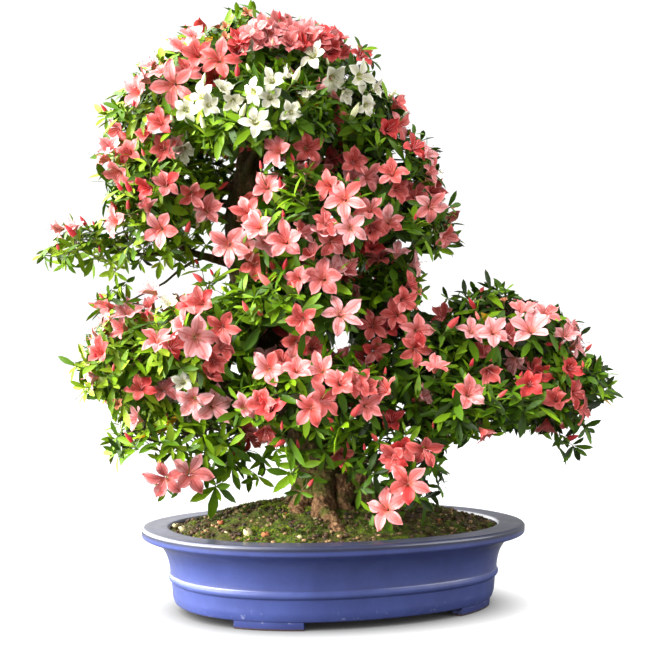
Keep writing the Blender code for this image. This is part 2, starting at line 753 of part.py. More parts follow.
def make_pad(name, seed, carrier, limbs, finish):
    """One mass of foliage: a stem, its twigs and their leaves and blossom, fused into one solid."""
    rng = random.Random(SEED + seed)
    centre = Vector(PADS[name][0])
    way = carrier.end_direction()
    stem = stem_limb(name, carrier)
    rings = limb_rings(stem, BOUGH_SIDES)
    rings[0] = [p - way * (p - stem.points[0]).dot(way) for p in rings[0]]
    base = solid_object("foliage_" + name, [p for ring in rings for p in ring],
                        band_faces(len(rings), BOUGH_SIDES), finish)
    pieces = bpy.data.collections.new("pieces")
    bpy.context.scene.collection.children.link(pieces)
    borders = own_space(name)

    def add(solid):
        made = solid_object("piece", *solid)
        bpy.context.scene.collection.objects.unlink(made)
        pieces.objects.link(made)

    dense = name not in AIRY_PADS
    taken = []

    def fits(start, end, points, half_width):
        if dense and any(reach_share(name, p) < CORE_CLEAR for p in points):
            return False
        return is_inside(points, borders) and is_clear(start, end, half_width, limbs + taken)

    def tip_fits(tip, axis):
        aside, outward = TIP_ROOM
        first = axis.orthogonal().normalized() * LEAF_SHORTEST * aside
        second = axis.cross(first)
        rim = tip + axis * LEAF_SHORTEST * outward
        around = [rim + first, rim - first, rim + second, rim - second, tip]
        return fits(tip - axis * LEAF_THICKNESS, rim, around, LEAF_SHORTEST / 2)

    if dense:
        core_object(name, rng, borders, limbs, pieces)
    longest = LEAF_LENGTH * pad_scale(name)
    tips = pad_tips(name, rng, tip_fits)
    for k, (tip, axis) in enumerate(tips):
        low, high = TWIG_ROOTS
        root = stem.points[0].lerp(centre, low + (high - low) * (k + 1) / len(tips))
        bend = root.lerp(tip, TWIG_BEND) + Vector((0.0, 0.0, TWIG_ARCH))
        free_run = is_clear(root.lerp(bend, 0.5), bend, TWIG_RADIUS, limbs + taken)
        if not (free_run and is_inside([bend], borders) and fits(bend, tip, [tip], TWIG_RADIUS)):
            continue
        in_bloom = rng.random() < BLOOM_SHARE
        solid, spans = tip_solid(root, bend, tip, axis, longest, in_bloom, rng, fits)
        if solid:
            add(solid)
            taken += spans
    joined = base.modifiers.new("joined", "BOOLEAN")
    joined.operation = "UNION"
    joined.operand_type = "COLLECTION"
    joined.collection = pieces
    joined.solver = "EXACT"
    apply_modifiers(base)
    for piece in list(pieces.objects):
        bpy.data.objects.remove(piece, do_unlink=True)
    bpy.data.collections.remove(pieces)
    keep_largest_body(base)
    return base


def stand_upright_on_origin():
    """Turn the pot's long side along X and put the origin under the middle of the whole plant."""
    frame = bpy.data.objects.new("front_view", None)
    bpy.context.scene.collection.objects.link(frame)
    for thing in list(bpy.data.objects):
        if thing.type == "MESH":
            thing.parent = frame
    frame.rotation_euler.z = -POT_TURN
    bpy.context.view_layer.update()
    corners = [thing.matrix_world @ v.co for thing in bpy.data.objects if thing.type == "MESH"
               and not thing.hide_render for v in thing.data.vertices]
    middle_x = (min(p.x for p in corners) + max(p.x for p in corners)) / 2
    middle_y = (min(p.y for p in corners) + max(p.y for p in corners)) / 2
    frame.location = (-middle_x, -middle_y, 0.0)


def main():
    clear_scene()
    glaze = material("blue_glaze", POT_BLUE, 0.15)
    moss = material("moss_and_soil", MOSS, 0.95)
    bark = material("trunk_bark", TRUNK_BARK, 0.9)
    bough_bark = material("bough_bark", BOUGH_BARK, 0.85)
    leaf = material("azalea_leaf", LEAF_GREEN, 0.5)

    make_pot(glaze)
    make_soil(moss)
    trunk = trunk_limb()
    limbs = {"trunk": trunk}
    solid_object("trunk", *trunk_mesh(trunk, 0.0), bark)

    for name in sorted(BOUGHS, key=lambda n: BOUGHS[n][0] != "trunk"):
        limbs[name] = bough_limb(name, limbs)
        parent_name = BOUGHS[name][0]
        rings = limb_rings(limbs[name], BOUGH_SIDES)
        bough = solid_object("bough_" + name, [p for ring in rings for p in ring],
                             band_faces(BOUGH_RINGS, BOUGH_SIDES), bough_bark)
        if parent_name == "trunk":
            cutter = solid_object("seat_cutter", *trunk_mesh(trunk, GAP))
        else:
            parent_rings = limb_rings(limbs[parent_name], BOUGH_SIDES, spare=SEAT_GAP)
            cutter = solid_object("seat_cutter", [p for ring in parent_rings for p in ring],
                                  band_faces(BOUGH_RINGS, BOUGH_SIDES))
        cut_away(bough, cutter)
        bpy.data.objects.remove(cutter, do_unlink=True)
        keep_largest_body(bough)

    stems = {name: stem_limb(name, limbs.get(name, trunk)) for name in PADS}
    for seed, name in enumerate(PADS):
        others = list(limbs.values()) + [stem for key, stem in stems.items() if key != name]
        make_pad(name, seed, limbs.get(name, trunk), others, leaf)
    stand_upright_on_origin()


main()
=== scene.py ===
"""Azalea bonsai in flower: the dressed model, its camera, light and floor."""
import math
import random

import bpy
import numpy as np
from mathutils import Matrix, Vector, noise


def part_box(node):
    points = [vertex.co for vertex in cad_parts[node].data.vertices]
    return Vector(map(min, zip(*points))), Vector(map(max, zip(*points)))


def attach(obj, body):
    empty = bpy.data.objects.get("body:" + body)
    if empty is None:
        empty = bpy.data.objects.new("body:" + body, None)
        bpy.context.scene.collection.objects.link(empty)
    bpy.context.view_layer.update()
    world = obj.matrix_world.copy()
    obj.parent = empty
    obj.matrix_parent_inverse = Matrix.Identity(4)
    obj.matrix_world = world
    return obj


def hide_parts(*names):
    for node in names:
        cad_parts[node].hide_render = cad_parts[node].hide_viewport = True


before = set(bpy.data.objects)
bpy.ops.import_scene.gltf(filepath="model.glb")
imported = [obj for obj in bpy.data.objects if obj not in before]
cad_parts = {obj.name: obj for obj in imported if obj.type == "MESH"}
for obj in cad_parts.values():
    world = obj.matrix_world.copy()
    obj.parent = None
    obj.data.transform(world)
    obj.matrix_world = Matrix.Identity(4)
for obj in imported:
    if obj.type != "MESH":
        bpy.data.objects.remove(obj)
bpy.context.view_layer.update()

# Layout, repeated from the part's source: X right, Y away, Z up, seen from the plant's front
POT_TURN = math.radians(24.7)
POT_LOW, POT_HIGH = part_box("pot")
POT_PLACE = np.array([(POT_LOW[0] + POT_HIGH[0]) / 2, (POT_LOW[1] + POT_HIGH[1]) / 2, 0.0])
POT_HALF_LENGTH = 0.200
POT_HALF_DEPTH = 0.1605
POT_OVAL = 2.19
POT_HEIGHT = 0.084
RIM_WIDTH = 0.0265
FOOT_HEIGHT = 0.0076
FOOT_WIDTH = 0.011
FOOT_ANGLES = (33.3, 61.1)
SOIL_EDGE = 0.079
GROUND = 0.1025
MOUND_TOP = (-0.008, 0.004)
MOUND_PLATEAU = (0.066, 0.058)
TRUNK_TOP = 0.520
TRUNK_COURSE = (  # height, sideways, depth, radius
    (GROUND, -0.008, 0.002, 0.0300),
    (0.125, -0.011, 0.002, 0.0265),
    (0.165, -0.024, 0.002, 0.0245),
    (0.265, -0.067, 0.004, 0.0200),
    (0.335, -0.090, 0.006, 0.0180),
    (0.400, -0.097, 0.006, 0.0160),
    (0.460, -0.088, 0.004, 0.0125),
    (TRUNK_TOP, -0.080, 0.002, 0.0060),
)
FLARE_HEIGHT = 0.020
ROOTS = (  # bearing in degrees from the right, reach beyond the trunk, half spread in degrees
    (-76, 0.026, 17),
    (-148, 0.014, 24),
    (172, 0.016, 20),
    (-18, 0.013, 20),
    (38, 0.018, 20),
    (92, 0.020, 18),
    (132, 0.013, 18),
)
PADS = {  # middle of each pad, then its reach sideways, in depth, upwards and downwards
    "crown_apex": ((-0.083, 0.000, 0.558), (0.095, 0.088, 0.058, 0.043)),
    "crown_left": ((-0.163, -0.005, 0.504), (0.070, 0.078, 0.060, 0.046)),
    "crown_right": ((0.002, 0.000, 0.505), (0.068, 0.080, 0.060, 0.047)),
    "crown_front": ((-0.072, -0.085, 0.489), (0.078, 0.052, 0.049, 0.039)),
    "crown_back": ((-0.085, 0.088, 0.520), (0.104, 0.058, 0.060, 0.049)),
    "left_upper": ((-0.178, -0.030, 0.424), (0.063, 0.062, 0.046, 0.038)),
    "left_back": ((-0.169, 0.075, 0.435), (0.074, 0.052, 0.052, 0.046)),
    "right_upper": ((0.051, 0.000, 0.448), (0.060, 0.078, 0.047, 0.041)),
    "right_middle": ((0.066, -0.005, 0.380), (0.060, 0.078, 0.043, 0.046)),
    "front_middle": ((-0.026, -0.088, 0.384), (0.070, 0.048, 0.053, 0.051)),
    "back_middle": ((-0.033, 0.092, 0.404), (0.093, 0.052, 0.064, 0.060)),
    "left_tip": ((-0.269, -0.020, 0.371), (0.043, 0.036, 0.022, 0.029)),
    "left_long": ((-0.187, -0.025, 0.374), (0.053, 0.048, 0.033, 0.030)),
    "left_hanging": ((-0.217, -0.025, 0.307), (0.028, 0.026, 0.016, 0.019)),
    "centre_front": ((-0.045, -0.085, 0.304), (0.073, 0.052, 0.041, 0.041)),
    "centre_right": ((0.054, -0.010, 0.311), (0.053, 0.072, 0.041, 0.045)),
    "centre_back": ((-0.038, 0.090, 0.300), (0.101, 0.052, 0.053, 0.053)),
    "low_left_top": ((-0.128, -0.045, 0.267), (0.076, 0.066, 0.057, 0.048)),
    "low_left_tip": ((-0.211, -0.015, 0.236), (0.057, 0.062, 0.061, 0.059)),
    "low_left_under": ((-0.160, -0.030, 0.171), (0.077, 0.052, 0.038, 0.051)),
    "low_left_back": ((-0.163, 0.072, 0.229), (0.096, 0.052, 0.072, 0.065)),
    "front_low": ((-0.021, -0.092, 0.216), (0.083, 0.052, 0.045, 0.056)),
    "front_foot": ((0.057, -0.085, 0.154), (0.055, 0.044, 0.045, 0.060)),
    "right_inner": ((0.080, -0.025, 0.240), (0.069, 0.066, 0.061, 0.055)),
    "right_top": ((0.175, 0.000, 0.283), (0.078, 0.062, 0.049, 0.046)),
    "right_tip": ((0.234, -0.008, 0.219), (0.053, 0.058, 0.049, 0.056)),
    "right_front": ((0.144, -0.068, 0.203), (0.069, 0.046, 0.044, 0.039)),
    "right_back": ((0.170, 0.072, 0.231), (0.100, 0.048, 0.065, 0.059)),
}
BACK_PADS = ("crown_back", "left_back", "back_middle", "centre_back", "low_left_back", "right_back")
AIRY_PADS = ("left_tip", "left_long", "left_hanging", "low_left_under", "front_foot")
BOUGHS = {  # the limb it leaves, where on it, radius at its root, rise of its middle
    "crown_left": ("trunk", 0.462, 0.0060, 0.006),
    "crown_right": ("trunk", 0.470, 0.0060, 0.004),
    "crown_front": ("trunk", 0.440, 0.0055, -0.004),
    "crown_back": ("trunk", 0.484, 0.0055, 0.004),
    "left_upper": ("trunk", 0.424, 0.0065, 0.008),
    "left_back": ("trunk", 0.404, 0.0060, 0.004),
    "right_upper": ("trunk", 0.398, 0.0070, 0.006),
    "right_middle": ("trunk", 0.338, 0.0070, 0.006),
    "front_middle": ("trunk", 0.362, 0.0060, -0.004),
    "back_middle": ("trunk", 0.374, 0.0065, 0.004),
    "left_long": ("trunk", 0.352, 0.0060, -0.004),
    "left_tip": ("left_long", 0.86, 0.0030, -0.003),
    "left_hanging": ("left_long", 0.62, 0.0026, 0.002),
    "centre_front": ("trunk", 0.280, 0.0060, -0.003),
    "centre_right": ("trunk", 0.286, 0.0065, 0.004),
    "centre_back": ("trunk", 0.262, 0.0070, 0.004),
    "low_left_top": ("trunk", 0.232, 0.0075, 0.004),
    "low_left_tip": ("trunk", 0.200, 0.0085, 0.008),
    "low_left_under": ("low_left_tip", 0.40, 0.0045, 0.002),
    "low_left_back": ("trunk", 0.214, 0.0070, 0.004),
    "front_low": ("trunk", 0.190, 0.0065, -0.003),
    "front_foot": ("trunk", 0.150, 0.0060, -0.002),
    "right_inner": ("trunk", 0.208, 0.0080, 0.004),
    "right_tip": ("trunk", 0.160, 0.0095, 0.008),
    "right_top": ("right_tip", 0.52, 0.0055, 0.003),
    "right_front": ("right_tip", 0.36, 0.0050, -0.002),
    "right_back": ("right_tip", 0.44, 0.0055, 0.002),
}
BOUGH_ENTRY = 0.62
BOUGH_TAPER = 0.52
DEPTH_SCALE = 1.5
UPWARD_PULL = 0.45
CLEAR_ROUND_BLOOM = 0.68  # leaves in front of a bloom keep out of this share of its radius
GOLDEN_ANGLE = math.pi * (3.0 - math.sqrt(5.0))
SEED = 300

# Camera, in the front view's own frame
EYE = np.array([-0.011, -1.45, 0.274])
TILT = 0.0095
FOCAL_PIXELS = 1401.9
PICTURE = 650
HORIZON = 338.3

LEAF_GROUPS = {  # joined pieces of leaves, by pad
    "crown": ("crown_apex", "crown_left", "crown_right", "crown_front", "crown_back"),
    "upper": ("left_upper", "left_back", "right_upper", "right_middle", "front_middle",
              "back_middle", "left_tip", "left_long", "left_hanging"),
    "low_left": ("centre_front", "centre_back", "low_left_top", "low_left_tip",
                 "low_left_under", "low_left_back", "front_low"),
    "low_right": ("centre_right", "front_foot", "right_inner", "right_top", "right_tip",
                  "right_front", "right_back"),
}

# Windows in the front view, in its picture's pixels: middle, half width, half height
SKY = (
    (155, 125, 11, 10), (223, 205, 6, 11), (221, 227, 6, 5), (156, 284, 27, 14), (217, 293, 6, 6),
    (330, 215, 5, 5), (398, 158, 6, 8), (401, 241, 6, 5), (343, 339, 8, 10), (235, 368, 6, 6),
    (178, 395, 6, 7), (433, 292, 9, 18), (38, 230, 13, 20), (92, 413, 18, 13), (72, 386, 10, 14),
    (70, 352, 10, 10), (142, 466, 15, 14), (202, 12, 24, 15), (300, 2, 48, 12), (118, 76, 14, 12),
    (90, 192, 14, 12), (394, 74, 16, 14), (453, 165, 12, 22), (430, 263, 10, 8), (545, 285, 30, 17),
    (505, 266, 40, 10), (581, 306, 22, 14), (452, 272, 20, 16), (432, 308, 12, 8), (604, 420, 16, 18),
    (518, 450, 32, 17), (478, 462, 26, 22), (610, 340, 14, 20), (186, 176, 5, 4),
)
TRUNK_SEEN = (  # where the leaves in front of the trunk leave it in sight
    (243, 178, 13, 32),
    (243, 215, 12, 14),
    (272, 345, 15, 20),
    (318, 496, 32, 26),
    (360, 497, 12, 22),
)

# Colours, in screen values from 0 to 255
# The greens also serve as painted light and shade: shaded sprays take the darker ones, lit sprays the
# brighter ones.
GREENS = {"shade": (34, 52, 6), "deep": (52, 80, 8), "mid": (75, 109, 13), "fresh": (110, 145, 18),
          "young": (140, 168, 38), "yellow": (190, 146, 26)}
PETAL_PARTS = ("throat", "line", "blade", "margin")
PETAL_TONES = {
    "pale": ((208, 132, 110), (198, 108, 104), (216, 140, 138), (228, 166, 167)),
    "salmon": ((200, 106, 85), (190, 84, 78), (208, 108, 104), (222, 138, 137)),
    "coral": ((188, 77, 58), (182, 62, 54), (198, 80, 73), (214, 108, 104)),
    "red": ((156, 36, 26), (166, 32, 30), (184, 42, 40), (204, 66, 62)),
    "withered": ((110, 56, 28), (130, 68, 36), (156, 84, 44), (178, 116, 70)),
    "white": ((172, 178, 96), (198, 198, 162), (214, 210, 188), (226, 223, 206)),
}
PINK_TONES = ("pale", "salmon", "coral", "red", "withered")
BUD_COLOURS = {"coral": (226, 74, 74), "red": (196, 40, 50), "salmon": (240, 120, 112),
               "cream": (232, 232, 180), "green": (120, 146, 60)}
MOSS_COLOURS = {"bright": (124, 140, 28), "green": (74, 92, 16), "olive": (78, 70, 20),
                "brown": (72, 50, 24)}
GRIT_COLOURS = {"cream": (178, 166, 122), "tan": (140, 112, 74), "brown": (82, 60, 38),
                "orange": (150, 84, 44), "dark": (44, 30, 16)}
BARKS = {  # dark, middle, light and mossy colour, then the share of moss
    "trunk": ((44, 32, 16), (104, 82, 48), (156, 130, 88), (60, 60, 16), 0.47),
    "roots": ((48, 30, 18), (108, 76, 46), (156, 120, 84), (60, 62, 16), 0.42),
    "boughs": ((44, 32, 18), (88, 66, 40), (130, 104, 70), (64, 66, 22), 0.40),
}


# Places, directions and curves

def unit(v):
    v = np.asarray(v, float)
    return v / np.maximum(np.linalg.norm(v, axis=-1, keepdims=True), 1e-9)


def spun(points, angle):
    """Points turned by an angle about the third axis."""
    c, s = math.cos(angle), math.sin(angle)
    p = np.asarray(points, float)
    return np.stack([p[..., 0] * c - p[..., 1] * s, p[..., 0] * s + p[..., 1] * c, p[..., 2]], -1)


def to_row(points):
    """From the front view's frame to the row's."""
    return spun(points, -POT_TURN) + POT_PLACE


def row_way(way):
    """A direction of the front view, in the row's frame."""
    return to_row(way) - to_row(np.zeros(3))


def pixel(points):
    """Where points of the front view fall in its picture."""
    p = np.asarray(points, float) - EYE
    scale = FOCAL_PIXELS / p[..., 1]
    return np.stack([PICTURE / 2 + p[..., 0] * scale, HORIZON - p[..., 2] * scale], -1)


def at_pixel(x, y, depth):
    """The point of the front view at this depth that falls on a pixel."""
    scale = (depth - EYE[1]) / FOCAL_PIXELS
    return np.array([EYE[0] + (x - PICTURE / 2) * scale, depth, EYE[2] - (y - HORIZON) * scale])


def in_windows(points, windows, spare=0.0):
    """Which points fall in one of the windows of the picture."""
    p = pixel(points)
    hit = np.zeros(p.shape[:-1], bool)
    for x, y, half_width, half_height in windows:
        across = (p[..., 0] - x) / (half_width + spare)
        down = (p[..., 1] - y) / (half_height + spare)
        hit |= across ** 2 + down ** 2 < 1.0
    return hit


def bezier(controls, shares):
    """Points of a Bezier curve at these shares of its way."""
    t = np.asarray(shares)[:, None]
    top = len(controls) - 1
    return sum(control * math.comb(top, k) * t ** k * (1 - t) ** (top - k)
               for k, control in enumerate(controls))


def strayed(way, rng, amount, rise):
    """A direction that strays sideways by up to an amount, and turns upwards."""
    return unit(way + (rng.uniform(-amount, amount), rng.uniform(-amount, amount), rise))


# Materials

def linear(*rgb):
    """A colour given in screen values from 0 to 255, as the shader wants it."""
    out = []
    for value in rgb:
        v = value / 255
        out.append(v / 12.92 if v <= 0.04045 else ((v + 0.055) / 1.055) ** 2.4)
    return (*out, 1.0)


def grey(v):
    return (v, v, v, 1.0)


def new_material(name, **sockets):
    made = bpy.data.materials.new(name)
    made.use_nodes = True
    shader = made.node_tree.nodes["Principled BSDF"]
    for key, value in sockets.items():
        shader.inputs[key.replace("_", " ")].default_value = value
    return made, made.node_tree, shader


def feed(tree, socket, value):
    """Gives an input a fixed value or another node's output."""
    if isinstance(value, bpy.types.NodeSocket):
        tree.links.new(value, socket)
    else:
        socket.default_value = value


def node(tree, kind, **settings):
    """A shader node with its inputs fed and its other settings made."""
    made = tree.nodes.new("ShaderNode" + kind)
    for key, value in settings.items():
        socket = key.replace("_", " ")
        if socket in made.inputs:
            feed(tree, made.inputs[socket], value)
        else:
            setattr(made, key, value)
    return made


def maths(tree, operation, first, second):
    made = node(tree, "Math", operation=operation)
    feed(tree, made.inputs[0], first)
    feed(tree, made.inputs[1], second)
    return made.outputs[0]


def ramp(tree, source, stops):
    made = node(tree, "ValToRGB", Fac=source)
    while len(made.color_ramp.elements) < len(stops):
        made.color_ramp.elements.new(0.5)
    for element, (place, colour) in zip(made.color_ramp.elements, stops):
        element.position = place
        element.color = colour
    return made.outputs["Color"]


def fade(tree, source, *stops):
    """A grey that runs through its stops, each a place and a value."""
    return ramp(tree, source, [(place, grey(value)) for place, value in stops])


def mixed(tree, share, first, second, blend="MIX"):
    """Two colours mixed; the colour sockets of the node are its inputs 6 and 7 and its output 2."""
    made = node(tree, "Mix", data_type="RGBA", blend_type=blend)
    for number, value in ((0, share), (6, first), (7, second)):
        feed(tree, made.inputs[number], value)
    return made.outputs[2]


def object_place(tree):
    return tree.nodes.new("ShaderNodeTexCoord").outputs["Object"]


def upward(tree, source):
    """The Z of a vector."""
    return node(tree, "SeparateXYZ", Vector=source).outputs["Z"]


def noise_value(tree, scale, detail=4.0, rough=0.5, stretch=None):
    """A noise over the object's own metres, stretched along its axes where asked."""
    source = object_place(tree)
    if stretch:
        source = node(tree, "Mapping", Scale=stretch, Vector=source).outputs["Vector"]
    made = node(tree, "TexNoise", Vector=source, Scale=scale, Detail=detail, Roughness=rough)
    return made.outputs["Fac"]


def bump(tree, shader, height, strength, distance):
    made = node(tree, "Bump", Strength=strength, Distance=distance, Height=height)
    feed(tree, shader.inputs["Normal"], made.outputs["Normal"])


GLAZE_TOP = 0.09  # the heights of the glaze's bands are shares of this height


def glaze_material():
    made, tree, shader = new_material("pot_glaze", Roughness=0.24, IOR=1.55, Coat_IOR=1.6,
                                      Coat_Roughness=0.13)
    height = node(tree, "MapRange", Value=upward(tree, object_place(tree)), From_Max=GLAZE_TOP)
    height = height.outputs["Result"]
    blue, pooled_glaze_and_shade, worn = linear(49, 62, 124), linear(35, 43, 96), linear(66, 80, 137)
    cloud = ramp(tree, noise_value(tree, 24.0, 7.0, 0.72),
                 ((0.32, linear(43, 55, 113)), (0.68, linear(64, 79, 145))))
    # The darker pooled band at the foot of the wall and above the ridge is the glaze's own; on the lip's
    # face, from 0.86 to 0.90 of the glaze's height, it is painted shade.
    bands = ramp(tree, height, (
        (0.00, linear(70, 50, 44)), (0.016, linear(66, 48, 44)), (0.026, linear(48, 52, 112)),
        (0.09, pooled_glaze_and_shade), (0.12, blue), (0.34, blue), (0.362, worn), (0.405, blue), (0.43, pooled_glaze_and_shade),
        (0.47, blue), (0.80, blue), (0.86, pooled_glaze_and_shade), (0.90, pooled_glaze_and_shade), (0.975, blue), (0.99, worn)))
    colour = mixed(tree, 0.6, bands, cloud)
    # Painted shade: the lip's face and the rim's outer edge are darkened to 0.22 of their colour.
    lip_painted_shade = fade(tree, height, (0.865, 1.0), (0.885, 0.22), (0.965, 0.22), (0.985, 1.0))
    colour = mixed(tree, 1.0, colour, lip_painted_shade, "MULTIPLY")
    foot = fade(tree, height, (0.014, 0.0), (0.022, 1.0))
    colour = mixed(tree, foot, linear(76, 54, 46), colour)
    # The flat top of the rim has a greyer colour of its own, darkened further as painted shade.
    rim_tone_and_painted_shade = ramp(tree, noise_value(tree, 30.0, 6.0, 0.6),
                     ((0.35, linear(24, 27, 50)), (0.65, linear(40, 44, 74))))
    facing = upward(tree, node(tree, "NewGeometry").outputs["True Normal"])
    on_rim = mixed(tree, 1.0, fade(tree, facing, (0.80, 0.0), (0.96, 1.0)),
                   fade(tree, height, (0.90, 0.0), (0.93, 1.0)), "MULTIPLY")
    colour = mixed(tree, on_rim, colour, rim_tone_and_painted_shade)
    specks = fade(tree, noise_value(tree, 170.0, 6.0, 0.7), (0.60, 0.0), (0.70, 1.0))
    lime = mixed(tree, 1.0, specks, fade(tree, height, (0.13, 0.50), (0.22, 0.03)), "MULTIPLY")
    colour = mixed(tree, lime, colour, linear(190, 195, 215))
    feed(tree, shader.inputs["Base Color"], colour)
    ridge = fade(tree, height, (0.335, 0.0), (0.350, 1.0), (0.400, 1.0), (0.415, 0.0))
    coat = mixed(tree, ridge, mixed(tree, on_rim, grey(0.55), grey(0.30)), grey(0.10))
    feed(tree, shader.inputs["Coat Weight"], coat)
    rough = mixed(tree, ridge, mixed(tree, on_rim, grey(0.40), grey(0.38)), grey(0.60))
    rough = mixed(tree, foot, grey(0.85), rough)
    fine = fade(tree, noise_value(tree, 90.0), (0.3, 0.0), (0.8, 0.10))
    feed(tree, shader.inputs["Roughness"], mixed(tree, 1.0, rough, fine, "ADD"))
    bump(tree, shader, noise_value(tree, 60.0, 3.0), 0.05, 0.0010)
    return made


def soil_material():
    made, tree, shader = new_material("moss_soil", Roughness=0.95, Specular_IOR_Level=0.25)
    earth = ramp(tree, noise_value(tree, 240.0, 6.0, 0.7), (
        (0.30, linear(26, 18, 8)), (0.50, linear(62, 46, 22)), (0.62, linear(90, 68, 30)),
        (0.75, linear(128, 98, 50))))
    moss = ramp(tree, noise_value(tree, 180.0, 5.0, 0.7), (
        (0.30, linear(28, 36, 6)), (0.52, linear(72, 88, 12)), (0.72, linear(120, 134, 26))))
    patch = fade(tree, noise_value(tree, 18.0, 4.0, 0.6), (0.40, 0.0), (0.56, 1.0))
    feed(tree, shader.inputs["Base Color"], mixed(tree, patch, earth, moss))
    bump(tree, shader, noise_value(tree, 320.0, 6.0, 0.7), 1.0, 0.004)
    return made


def bark_material(kind):
    """Bark with moss in patches, darkened above the trunk's foot by painted shade."""
    *colours, moss_share = BARKS[kind]
    low, mid, high, moss = (linear(*rgb) for rgb in colours)
    bright_moss = (*(min(1.0, value * 2.3) for value in moss[:3]), 1.0)
    made, tree, shader = new_material("bark_" + kind, Roughness=0.9, Specular_IOR_Level=0.3)
    grain = noise_value(tree, 260.0, 8.0, 0.75, (1.0, 1.0, 0.5))
    bark = ramp(tree, grain, ((0.34, low), (0.50, mid), (0.64, high)))
    patch = fade(tree, noise_value(tree, 34.0, 5.0, 0.65), (moss_share, 1.0), (moss_share + 0.12, 0.0))
    # Painted shade: above the trunk's foot, under the boughs and leaves, the bark is darkened to 0.55.
    above = fade(tree, upward(tree, object_place(tree)), (0.13, 1.0), (0.20, 0.55))
    green = ramp(tree, noise_value(tree, 260.0, 4.0, 0.7), ((0.3, moss), (0.7, bright_moss)))
    colour = mixed(tree, 1.0, mixed(tree, patch, bark, green), above, "MULTIPLY")
    feed(tree, shader.inputs["Base Color"], colour)
    bump(tree, shader, grain, 1.0, 0.0030)
    return made


def fine_material(name, colour, grain, strength, distance, **sockets):
    """One plain colour over a fine bump; the grain is the scale of its noise."""
    made, tree, shader = new_material(name, Base_Color=colour, **sockets)
    bump(tree, shader, noise_value(tree, grain, 3.0, 0.6), strength, distance)
    return made


def petal_material(name, colour):
    return fine_material(name, colour, 900.0, 0.25, 0.0004, Roughness=0.52, Sheen_Weight=0.12,
                         Sheen_Roughness=0.5, Specular_IOR_Level=0.35)


def leaf_material(name, colour):
    return fine_material(name, colour, 700.0, 0.30, 0.0005, Roughness=0.42, Specular_IOR_Level=0.17)


def plain_material(name, colour, roughness):
    return fine_material(name, colour, 600.0, 0.4, 0.0006, Roughness=roughness)


def palette(material, prefix, colours, *settings):
    """One material for each named screen colour."""
    return [material(prefix + key, linear(*rgb), *settings) for key, rgb in colours.items()]


def petal_palette(tone):
    return palette(petal_material, f"petal_{tone}_", dict(zip(PETAL_PARTS, PETAL_TONES[tone])))


# Meshes

def placed(name, data):
    """A new object of the scene."""
    made = bpy.data.objects.new(name, data)
    bpy.context.scene.collection.objects.link(made)
    return made


class Batch:
    """Many small shapes gathered for one joined mesh."""

    def __init__(self):
        self.points = []
        self.tris = []
        self.quads = []
        self.tri_tints = []
        self.quad_tints = []
        self.count = 0

    def add(self, points, tris=(), quads=(), tint=0, quad_tints=None):
        """Adds a shape, whose quads have its triangles' tint unless they are given their own."""
        points = np.asarray(points, float)
        tris = np.asarray(tris, int).reshape(-1, 3)
        quads = np.asarray(quads, int).reshape(-1, 4)
        self.points.append(points)
        self.tris.append(tris + self.count)
        self.quads.append(quads + self.count)
        self.tri_tints.append(np.broadcast_to(tint, len(tris)))
        self.quad_tints.append(np.broadcast_to(tint if quad_tints is None else quad_tints, len(quads)))
        self.count += len(points)

    def piece(self, name, finishes, slot, nodes, smooth=True):
        """The joined mesh, as the piece that stands for these nodes."""
        points = to_row(np.concatenate(self.points))
        tris = np.concatenate(self.tris)
        quads = np.concatenate(self.quads)
        tints = np.concatenate(self.tri_tints + self.quad_tints)
        mesh = bpy.data.meshes.new(name)
        mesh.vertices.add(len(points))
        mesh.vertices.foreach_set("co", points.ravel())
        loops = np.concatenate([tris.ravel(), quads.ravel()])
        mesh.loops.add(len(loops))
        mesh.loops.foreach_set("vertex_index", loops.astype(np.int32))
        starts = np.concatenate([np.arange(len(tris)) * 3, len(tris) * 3 + np.arange(len(quads)) * 4])
        mesh.polygons.add(len(starts))
        mesh.polygons.foreach_set("loop_start", starts.astype(np.int32))
        mesh.polygons.foreach_set("material_index", tints.astype(np.int32))
        mesh.polygons.foreach_set("use_smooth", np.full(len(starts), smooth))
        mesh.update(calc_edges=True)
        for finish in finishes:
            mesh.materials.append(finish)
        made = placed(name, mesh)
        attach(made, "root")
        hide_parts(*nodes)
        return made


def grid_faces(rings, count, closed=True):
    """Quads between neighbouring rings of count points."""
    i = np.arange(count if closed else count - 1)
    j = (i + 1) % count
    low = np.arange(rings - 1)[:, None] * count
    faces = np.stack([low + i, low + j, low + count + j, low + count + i], -1)
    return faces.reshape(-1, 4)


def fan(first, count, hub):
    """Triangles between a ring of count points and a hub."""
    i = np.arange(count)
    return np.stack([first + i, first + (i + 1) % count, np.full(count, hub)], -1)


def tube(points, radii, sides, turn=0.0):
    """Rings round a centre line, its end closed by a fan to a point just beyond it."""
    points = np.asarray(points, float)
    along = unit(np.gradient(points, axis=0))
    side = np.cross(along[0], (0.3, 0.2, 0.93) if abs(along[0][2]) < 0.9 else (1.0, 0.1, 0.0))
    rings = []
    angles = turn + 2 * math.pi * np.arange(sides) / sides
    for point, way, radius in zip(points, along, radii):
        side = unit(side - way * side.dot(way))
        other = np.cross(way, side)
        rings.append(point + radius * (np.cos(angles)[:, None] * side + np.sin(angles)[:, None] * other))
    rings.append(points[-1:] + along[-1:] * radii[-1] * 0.8)
    last = (len(points) - 1) * sides
    return np.concatenate(rings), fan(last, sides, last + sides), grid_faces(len(points), sides)


def noise_at(points, scale, seed=0.0):
    return np.array([noise.noise(Vector(p) * scale + Vector((seed, seed * 0.7, -seed)))
                     for p in points])


# Pot

